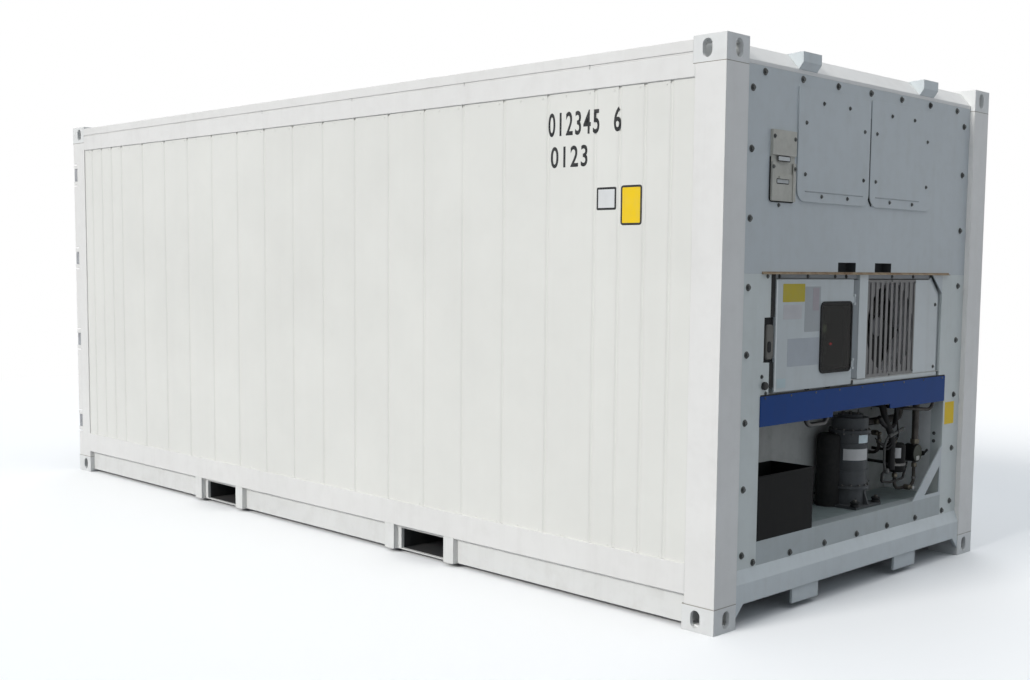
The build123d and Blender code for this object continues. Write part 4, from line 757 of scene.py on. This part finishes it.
# Painted light: the fan box is painted far lighter, so that in its shade it reads as light as the slats.
dress(sprayed("fan_box_painted_light", (0.74, 0.72, 0.73), dirt=(0.20, 0.19, 0.18), streaks=0.2),
      "fan_shroud")
fan_finish = plastic("fan_plastic", (0.030, 0.031, 0.032), dust=(0.14, 0.13, 0.12), dusty=0.4,
                     polish=0.45, edge=0.003, Specular_IOR_Level=0.15)
dress(fan_finish, "fan_rotor")
machine_finish = sprayed("compressor_paint", (0.082, 0.087, 0.091), dirt=(0.04, 0.036, 0.032),
                         blotches=0.35, streaks=0.2, gloss=0.48, edge=0.004,
                         Specular_IOR_Level=0.15)
dress(machine_finish, "fan_motor")
mouth = ringed(plate(0.486, 0.486, 0.004, 0.0016, 0.0004, 24),
               plate(0.462, 0.462, 0.231, 0.0016, 0.0004, 24))
piece("fan_mouth", stand(mouth, "+x", spots(2.9866, 0.286, 1.3075)),
      sprayed("mouth_paint", (0.185, 0.178, 0.178), dirt=(0.12, 0.115, 0.11), streaks=0.2,
              edge=0.001))
piece("fan_hub_cap", stand(turned([(0.052, 0), (0.052, 0.003), (0.046, 0.006), (0.020, 0.0072)], 32),
                           "+x", spots(2.9105, 0.288, 1.31)),
      sprayed("hub_paint", (0.24, 0.24, 0.25), blotches=0.2, streaks=0.0, gloss=0.4, edge=0.002),
      "fan")
coil_finish = metalwork("coil_aluminium", (0.58, 0.59, 0.60), (0.24, 0.23, 0.21), tarnished=0.7,
                        Metallic=1.0)
dress(coil_finish, "condenser_coil")
fin = prism([(-0.0002, 0), (0.0002, 0), (0.0002, 0.51), (-0.0002, 0.51)], 0.005)
piece("coil_fins", stand(fin, "+x", spots(2.715, np.arange(0.048, 0.788, 0.005), 1.066)), coil_finish)
piece("guard_screws", stand(rivet(0.006, 0.003), "+x", spots(
    2.993, [0.046, 0.046, 0.526, 0.526, 0.286, 0.286], [1.075, 1.54, 1.075, 1.54, 1.067, 1.548])),
    bolt_finish)

# Cable tray
# An open box of folded steel sheet that stands at the left of the bay, sprayed black inside
# and out. Its rim is rolled.

black_finish = sprayed("black_steel", (0.008, 0.0083, 0.0086), dirt=(0.03, 0.03, 0.027),
                       blotches=0.2, streaks=0.2, gloss=0.55, Specular_IOR_Level=0.06)
dress(black_finish, "cable_tray")
rim = [(2.7605, -0.70), (2.7605, -0.4185), (2.9995, -0.4185), (2.9995, -0.8725), (2.7605, -0.8725),
       (2.7605, -0.70)]
piece("tray_rim", tube(bent([(x, y, 0.660) for x, y in rim], 0.006, 3), 0.0038), black_finish)

# Compressor
# A sealed cast-iron compressor sprayed dark grey, on a foot with rubber mounts. Bolts clamp its
# two flanges, and plain vinyl labels are wrapped round the shell.

dress(machine_finish, "compressor")
COMPRESSOR = np.array([2.800, 0.245, 0.0])
MOUNTS = spots([2.905, 2.695, 2.905], [0.140, 0.350, 0.350], 0.380)
piece("foot_mounts", stand(turned([
    (0.022, 0), (0.025, 0.004), (0.019, 0.013), (0.025, 0.022), (0.022, 0.026)], 20), "+z", MOUNTS),
    gasket)

# A near-black shell round the side can makes it darker than the compressor paint.
dark_shell_finish = plastic("near_black_can_shell", (0.024, 0.024, 0.024), dust=(0.07, 0.068, 0.06), dusty=0.25,
                        polish=0.7, grain=0.8, edge=0.003, Specular_IOR_Level=0.1)
piece("side_can_dark_shell", stand(turned([
    (0.0625, 0), (0.0640, 0.004), (0.0640, 0.355), (0.0600, 0.368), (0.0480, 0.3775), (0.0200, 0.3795)],
    40), "+z", spots(2.740, 0.144, 0.3705)), dark_shell_finish)


def circle_of(number, radius, middle, z, turn=0.0):
    """Places evenly round a circle about an upright line."""
    angle = turn + np.arange(number) * 2 * np.pi / number
    return spots(middle[0] + radius * np.cos(angle), middle[1] + radius * np.sin(angle), z)


iron_bolt = metalwork("iron_bolts", (0.10, 0.10, 0.097), (0.04, 0.035, 0.03), spangle=0.1,
                      Metallic=0.7)
tiny_bolt = turned([(0.0062, 0), (0.0062, 0.0062), (0.0052, 0.0072)], 6)
piece("flange_bolts", joined(
    stand(tiny_bolt, "+z", circle_of(14, 0.1015, COMPRESSOR, 0.770)),
    stand(tiny_bolt, "+z", circle_of(14, 0.1015, COMPRESSOR, 0.478)),
    stand(tiny_bolt, "-z", circle_of(14, 0.1015, COMPRESSOR, 0.754)),
    stand(turned([(0.011, 0), (0.011, 0.010), (0.009, 0.012)], 6), "+z", MOUNTS + (0, 0, 0.026)),
    stand(turned([(0.008, 0), (0.008, 0.006), (0.006, 0.008)], 6), "+z",
          circle_of(6, 0.045, COMPRESSOR, 0.850))), iron_bolt)


def hoop(edge, rim, half, flat, sides):
    """A low drum about its middle with cut edges: radius edge at the ends, radius rim between."""
    return turned([(edge, -half), (rim, -flat), (rim, flat), (edge, half)], sides)


piece("compressor_seams", joined(*(stand(hoop(0.0952, 0.0972, 0.0035, 0.0015, 48), "+z",
                                         COMPRESSOR[None] + (0, 0, z))
                                   for z in (0.560, 0.700))), machine_finish)
rib = prism([(0, 0), (0.030, 0), (0, 0.075)], 0.012)
foot_ribs = [stand(rib, way, np.array([place])) for way, place in (
    ("-y", (2.8945, 0.251, 0.380)), ("+x", (2.794, 0.3395, 0.380)))]
piece("foot_ribs", joined(*foot_ribs), machine_finish)


def wrapped(middle, radius, thick, start, end, low, high, steps=14):
    """A label bent round an upright can: its section goes round from start to end, in degrees."""
    angle = np.radians(np.linspace(start, end, steps))
    radii = np.array([radius, radius + thick, radius + thick, radius])
    heights = np.array([low, low, high, high])
    x = middle[0] + radii[None] * np.cos(angle)[:, None]
    y = middle[1] + radii[None] * np.sin(angle)[:, None]
    return shell(np.stack([x, y, np.broadcast_to(heights, x.shape)], -1)[::-1])


piece("compressor_label", wrapped(COMPRESSOR, 0.0952, 0.0005, -78, 12, 0.613, 0.672),
      vinyl("label_white", (0.62, 0.61, 0.60)))
piece("compressor_label_small", wrapped(COMPRESSOR, 0.0952, 0.0005, -30, 14, 0.703, 0.746),
      vinyl("label_ice", (0.72, 0.82, 0.84)))

# Receiver, drier and pipes
# Black lacquered pressure vessels on brackets. The copper pipes between them are lacquered dark
# or sleeved in black foam; flare nuts, valves and a sight glass of dull brass join them, and
# black wires hang between the machines.

dress(black_finish, "receiver_and_drier")
pipe_finish = metalwork("dark_copper", (0.040, 0.035, 0.031), (0.020, 0.019, 0.018), tarnished=0.9,
                        polish=0.42, Metallic=0.5)
dress(pipe_finish, "refrigerant_pipes")
dress(plastic("conduit_plastic", (0.014, 0.014, 0.015), dust=(0.10, 0.10, 0.09), dusty=0.25,
              polish=0.4, grain=0.3), "cable_conduit")
brass = metalwork("dull_brass", (0.13, 0.12, 0.095), (0.04, 0.036, 0.03), tarnished=0.7,
                  Metallic=0.8)
steel = metalwork("plated_steel", (0.17, 0.17, 0.17), (0.07, 0.068, 0.065), tarnished=0.6,
                  spangle=0.1, Metallic=0.8)
RECEIVER = np.array([2.900, 0.549, 0.0])
sleeve_finish = plastic("foam_sleeve", (0.012, 0.012, 0.013), dust=(0.08, 0.08, 0.075), dusty=0.25,
                        grain=0.8, edge=0.002, Specular_IOR_Level=0.15)
piece("sleeved_pipes", joined(
    tube(bent([(2.930, 0.457, 0.545), (2.930, 0.457, 0.720), (2.900, 0.440, 0.800),
               (2.865, 0.420, 0.950)],
              0.03), 0.018, 16),
    tube(bent([(2.905, 0.360, 0.830), (2.905, 0.420, 0.775), (2.905, 0.520, 0.768),
               (2.905, 0.560, 0.940)],
              0.03), 0.012, 14),
    tube(bent([(2.925, 0.406, 0.541), (2.925, 0.370, 0.530), (2.925, 0.368, 0.486), (2.925, 0.462, 0.476),
               (2.925, 0.592, 0.482), (2.900, 0.660, 0.520), (2.900, 0.680, 0.560)], 0.014), 0.0065, 12)),
    sleeve_finish)
piece("hanging_wires", joined(*(
    tube(bent([(2.902 + step, 0.330, 0.720 - step), (2.935 - step, 0.400, 0.650 + 2 * step),
               (2.945 - step, 0.500 + step, 0.715 + step), (2.930 - step, 0.470 + 3 * step, 0.940)],
               0.025),
         0.0035, 8) for step in (0.0, 0.008, 0.016))), sleeve_finish)
piece("bright_pipes", joined(
    tube(np.array([(2.935, 0.414, 0.726), (2.935, 0.490, 0.740), (2.935, 0.564, 0.756)]), 0.010, 14),
    tube(bent([(2.925, 0.400, 0.550), (2.925, 0.386, 0.600), (2.925, 0.388, 0.680),
               (2.930, 0.414, 0.722)],
              0.02), 0.007, 12),
    stand(turned([(0.013, 0), (0.015, 0.003), (0.015, 0.020), (0.010, 0.024)], 14), "+x",
          spots(2.918, 0.408, 0.541))), sprayed("dull_pipe", (0.085, 0.085, 0.082),
                                                dirt=(0.04, 0.038, 0.036), blotches=0.4, edge=0.001,
                                                Specular_IOR_Level=0.15))
nut = hoop(0.0145, 0.016, 0.011, 0.009, 6)
large_nut = hoop(0.0245, 0.026, 0.012, 0.010, 6)
piece("flare_nuts", joined(
    stand(nut, "+z", np.array([(2.920, 0.722, 0.540), (2.900, 0.549, 0.500), (2.800, 0.549, 0.675)])),
    stand(large_nut, "+z", np.array([(2.920, 0.722, 0.672)])),
    stand(nut, "+y", np.array([(2.800, 0.362, 0.730)])),
    stand(hoop(0.0275, 0.029, 0.012, 0.010, 6), "+y",
          np.array([(2.800, 0.356, 0.790)]))), brass)
piece("service_valves", joined(
    stand(turned([(0.013, 0), (0.015, 0.004), (0.015, 0.034), (0.009, 0.038), (0.009, 0.052),
                  (0.007, 0.055)], 12),
          "+x", np.array([(2.804, 0.470, 0.790), (2.802, 0.470, 0.730), (2.915, 0.630, 0.430)])),
    stand(turned([(0.010, 0), (0.010, 0.016), (0.008, 0.018)], 6), "-y",
          np.array([(2.921, 0.501, 0.575)])),
    stand(turned([(0.008, 0), (0.008, 0.024), (0.006, 0.026)], 6), "+z",
          np.array([(2.900, 0.549, 0.676)]))), brass)
piece("sight_glass", stand(turned([(0.011, 0), (0.011, 0.003), (0.006, 0.0045)], 16), "+x",
                           np.array([(2.970, 0.630, 0.430)])), vinyl("glass_white", (0.42, 0.43, 0.42)))
piece("drier_rim", stand(hoop(0.0478, 0.0500, 0.005, 0.003, 40),
                         "+x", np.array([(2.880, 0.722, 0.607), (2.932, 0.722, 0.607)])), black_finish)
piece("drier_face", stand(turned([(0.0460, 0), (0.0460, 0.0010), (0.0440, 0.0016)], 40), "+x",
                          spots(2.940, 0.722, 0.607)), sprayed("drier_coat", (0.060, 0.064, 0.052),
                              dirt=(0.10, 0.10, 0.08), blotches=0.5, edge=0.002,
                              Specular_IOR_Level=0.2))
piece("drier_switch", joined(
    tube(bent([(2.930, 0.768, 0.600), (2.930, 0.812, 0.596), (2.930, 0.846, 0.612)], 0.012), 0.0065),
    stand(turned([(0.013, 0), (0.013, 0.018), (0.010, 0.021)], 16), "+y", spots(2.930, 0.784, 0.598))),
      black_finish)
piece("drier_label", stand(plate(0.034, 0.024, 0.004, 0.0005, 0.0001), "+x",
                           spots(2.9416, 0.724, 0.580)), vinyl("label_white_drier", (0.55, 0.54, 0.50)))
piece("receiver_label", wrapped(RECEIVER, 0.0541, 0.0005, -78, -27, 0.600, 0.655, 8),
      vinyl("label_white_can", (0.56, 0.55, 0.54)))
piece("receiver_strap", stand(hoop(0.0542, 0.0558, 0.007, 0.006, 40),
                              "+z", np.array([(2.900, 0.549, 0.564)])), steel)
piece("pipe_clips", joined(*(stand(hoop(0.0105, 0.0118, 0.006, 0.005, 14),
                                   way, np.array([place])) for way, place in (
    ("+y", (2.800, 0.435, 0.730)), ("+z", (2.920, 0.722, 0.470)), ("+x", (2.74, 0.549, 0.610))))), steel)

# Left stile fittings
# A grey socket housing on a black rubber back shows in the notch of the left stile. Under it is
# a black knob between two bolts. A plain yellow plate is stuck to the right stile.

socket_finish = plastic("socket_housing", (0.15, 0.145, 0.13), dust=(0.20, 0.19, 0.17), dusty=0.4,
                        polish=0.5, grain=0.6, edge=0.004, Specular_IOR_Level=0.2)
piece("notch_back", stand(plate(0.083, 0.202, 0.002, 0.004), "+x", spots(2.984, -0.814, 1.282)), gasket)
piece("socket_body", stand(plate(0.056, 0.158, 0.016, 0.013, 0.004), "+x",
                           spots(2.987, -0.804, 1.272)), socket_finish)
piece("socket_mouth", stand(plate(0.026, 0.050, 0.010, 0.003, 0.001), "+x",
                            spots(3.000, -0.812, 1.250)), gasket)
piece("knob", stand(turned([(0.017, 0), (0.0185, 0.002), (0.0185, 0.012), (0.0165, 0.016),
                            (0.008, 0.0175)], 24),
                    "+x", spots(UNIT_FACE, -0.850, 1.076)), fan_finish)
piece("knob_bolts", stand(small_bolt, "+x", spots(UNIT_FACE, [-0.866, -0.832], [1.118, 1.040])),
      bolt_finish)
label("stile_plate", 0.893, 1.000, 0.757, 0.880, yellow_vinyl, UNIT_FACE, "frame")

# Cargo doors
# Two foam-filled leaves in white sheet with rubber seals round their edges. Forged hinge
# blades and the bearings of the lock rods are bolted on, and all of that is galvanised.

dress(wall_finish, "door_leaf_left", "door_leaf_right")
dress(gasket, "door_seal_left", "door_seal_right")
zinc = metalwork("galvanised_steel", (0.33, 0.34, 0.36), (0.20, 0.20, 0.20), tarnished=0.5,
                 spangle=0.16, polish=0.5, edge=0.002, Metallic=0.5)
dress(zinc, "door_hardware_left", "door_hardware_right")
hinge_z = 0.215 + np.array([0.075, 0.352, 0.625, 0.901]) * 2.248
guide_z = np.array([0.275, 0.541, 1.170, 1.800, 2.403])
for name, side in (("door_left", 1), ("door_right", -1)):
    blades = spots(-2.989, np.tile(side * np.repeat([0.975, 1.040, 1.105], 2), 4),
                   (hinge_z[:, None] + np.tile([-0.052, 0.052], 3)).ravel())
    guides = spots(-3.012, np.tile(side * np.repeat([0.875, 0.305],
                                                    2) + np.array([-0.021, 0.021] * 2), 5),
                   np.repeat(guide_z, 4))
    piece(name + "_bolts", joined(stand(small_bolt, "-x", blades), stand(tiny_bolt, "-x", guides)),
          zinc, name)
    pads = spots(-2.979, side * np.array([0.470, 0.505]), [1.346, 1.218])
    piece(name + "_handle_catches", stand(plate(0.046, 0.052, 0.006, 0.0315, 0.002), "-x", pads),
          zinc, name)
piece("door_plate", stand(plate(0.20, 0.15, 0.006, 0.0012), "-x", spots(-2.979, 0.155, 0.90)),
      steel, "door_left")
piece("door_plate_rivets", stand(rivet(0.004, 0.002), "-x", spots(
    -2.9802, [0.066, 0.066, 0.244, 0.244], [0.836, 0.964, 0.836, 0.964])), zinc, "door_left")

# Floor, light and camera
# A pale studio floor that fades to white, one soft lamp high on the long side, a broad weak
# one from above and a weaker one behind.


def backdrop_share(tree):
    """1 for rays of the camera, of glossy surfaces and through glass, 0 for the rest."""
    rays = add(tree, "LightPath", {}).outputs
    seen = maths(tree, "MAXIMUM", rays["Is Camera Ray"], rays["Is Glossy Ray"])
    return maths(tree, "MAXIMUM", seen, rays["Is Transmission Ray"])


def studio_floor():
    """Pale floor paint, darker for the light it throws up, that turns to white light with the
    distance from the middle."""
    made = bpy.data.materials.new("studio_floor")
    made.use_nodes = True
    tree = made.node_tree
    skin = tree.nodes["Principled BSDF"]
    seen = backdrop_share(tree)
    place = add(tree, "TexCoord", {}).outputs["Object"]
    far = add(tree, "VectorMath", {0: place}, operation="LENGTH").outputs["Value"]
    feed(skin.inputs["Base Color"], mixed(tree, seen, (0.30, 0.31, 0.33), (0.93, 0.93, 0.93)))
    skin.inputs["Roughness"].default_value = 0.9
    skin.inputs["Specular IOR Level"].default_value = 0.0
    white = add(tree, "Emission", {"Color": (1, 1, 1), "Strength": 1.0})
    share = maths(tree, "MULTIPLY", seen, band(tree, far, 4.0, 11.0))
    blend = add(tree, "MixShader", {0: share, 1: skin.outputs[0], 2: white.outputs[0]})
    feed(tree.nodes["Material Output"].inputs["Surface"], blend.outputs[0])
    return made


across = np.linspace(-60, 60, 9)
grid = np.stack([*np.meshgrid(across, across), np.zeros((9, 9))], -1).reshape(-1, 3)
tiles = np.arange(81).reshape(9, 9)
tiles = np.stack([tiles[:-1, :-1], tiles[:-1, 1:], tiles[1:, 1:], tiles[1:, :-1]], -1).reshape(-1, 4)
floor_mesh = bpy.data.meshes.new("studio_floor")
floor_mesh.from_pydata(grid.tolist(), [], tiles.tolist())
floor_mesh.materials.append(studio_floor())
floor = bpy.data.objects.new("studio_floor", floor_mesh)
bpy.context.scene.collection.objects.link(floor)

world = bpy.data.worlds.new("studio")
world.use_nodes = True
bpy.context.scene.world = world
feed(world.node_tree.nodes["Background"].inputs["Color"], mixed(
    world.node_tree, backdrop_share(world.node_tree), (0.30, 0.335, 0.37), (1, 1, 1)))


def lamp(name, strength, spread, direction, colour):
    """A sun lamp that shines from that direction, spread over an angle in degrees."""
    light = bpy.data.lights.new(name, "SUN")
    light.energy, light.angle, light.color = strength, math.radians(spread), colour
    thing = bpy.data.objects.new(name, light)
    bpy.context.scene.collection.objects.link(thing)
    z = np.array(direction, float) / np.linalg.norm(direction)
    x = np.cross((0.0, 1.0, 0.1), z)
    x /= np.linalg.norm(x)
    thing.matrix_world = Matrix(np.vstack([np.column_stack([x, np.cross(z, x), z, (0, 0, 6)]),
                                           (0, 0, 0, 1)]).tolist())


lamp("key_lamp", 2.35, 20, (-0.10, -0.88, 0.50), (1.0, 0.985, 0.96))
lamp("top_lamp", 1.0, 70, (0.12, 0.05, 1.0), (0.96, 0.98, 1.0))
lamp("back_lamp", 0.7, 40, (-0.65, 0.70, 0.40), (0.97, 0.98, 1.0))

view = bpy.data.cameras.new("photo_camera")
view.sensor_width, view.lens = 36.0, 43.8543
view.shift_x, view.shift_y = -0.0364019, 0.0356146
camera = bpy.data.objects.new("photo_camera", view)
bpy.context.scene.collection.objects.link(camera)
bpy.context.scene.camera = camera
camera_place = (6.2428, -5.5542, 1.6050)
turn, rise, roll = (math.radians(v) for v in (44.154, 5.057, 0.678))
back = np.array([math.sin(turn) * math.cos(rise), -math.cos(turn) * math.cos(rise), math.sin(rise)])
right = np.array([math.cos(turn), math.sin(turn), 0.0])
above = np.cross(back, right)
right, above = (math.cos(roll) * right + math.sin(roll) * above,
                math.cos(roll) * above - math.sin(roll) * right)
camera.matrix_world = Matrix(np.vstack([
    np.column_stack([right, above, back, camera_place]), (0, 0, 0, 1)]).tolist())
bpy.context.scene.view_settings.view_transform = "Standard"
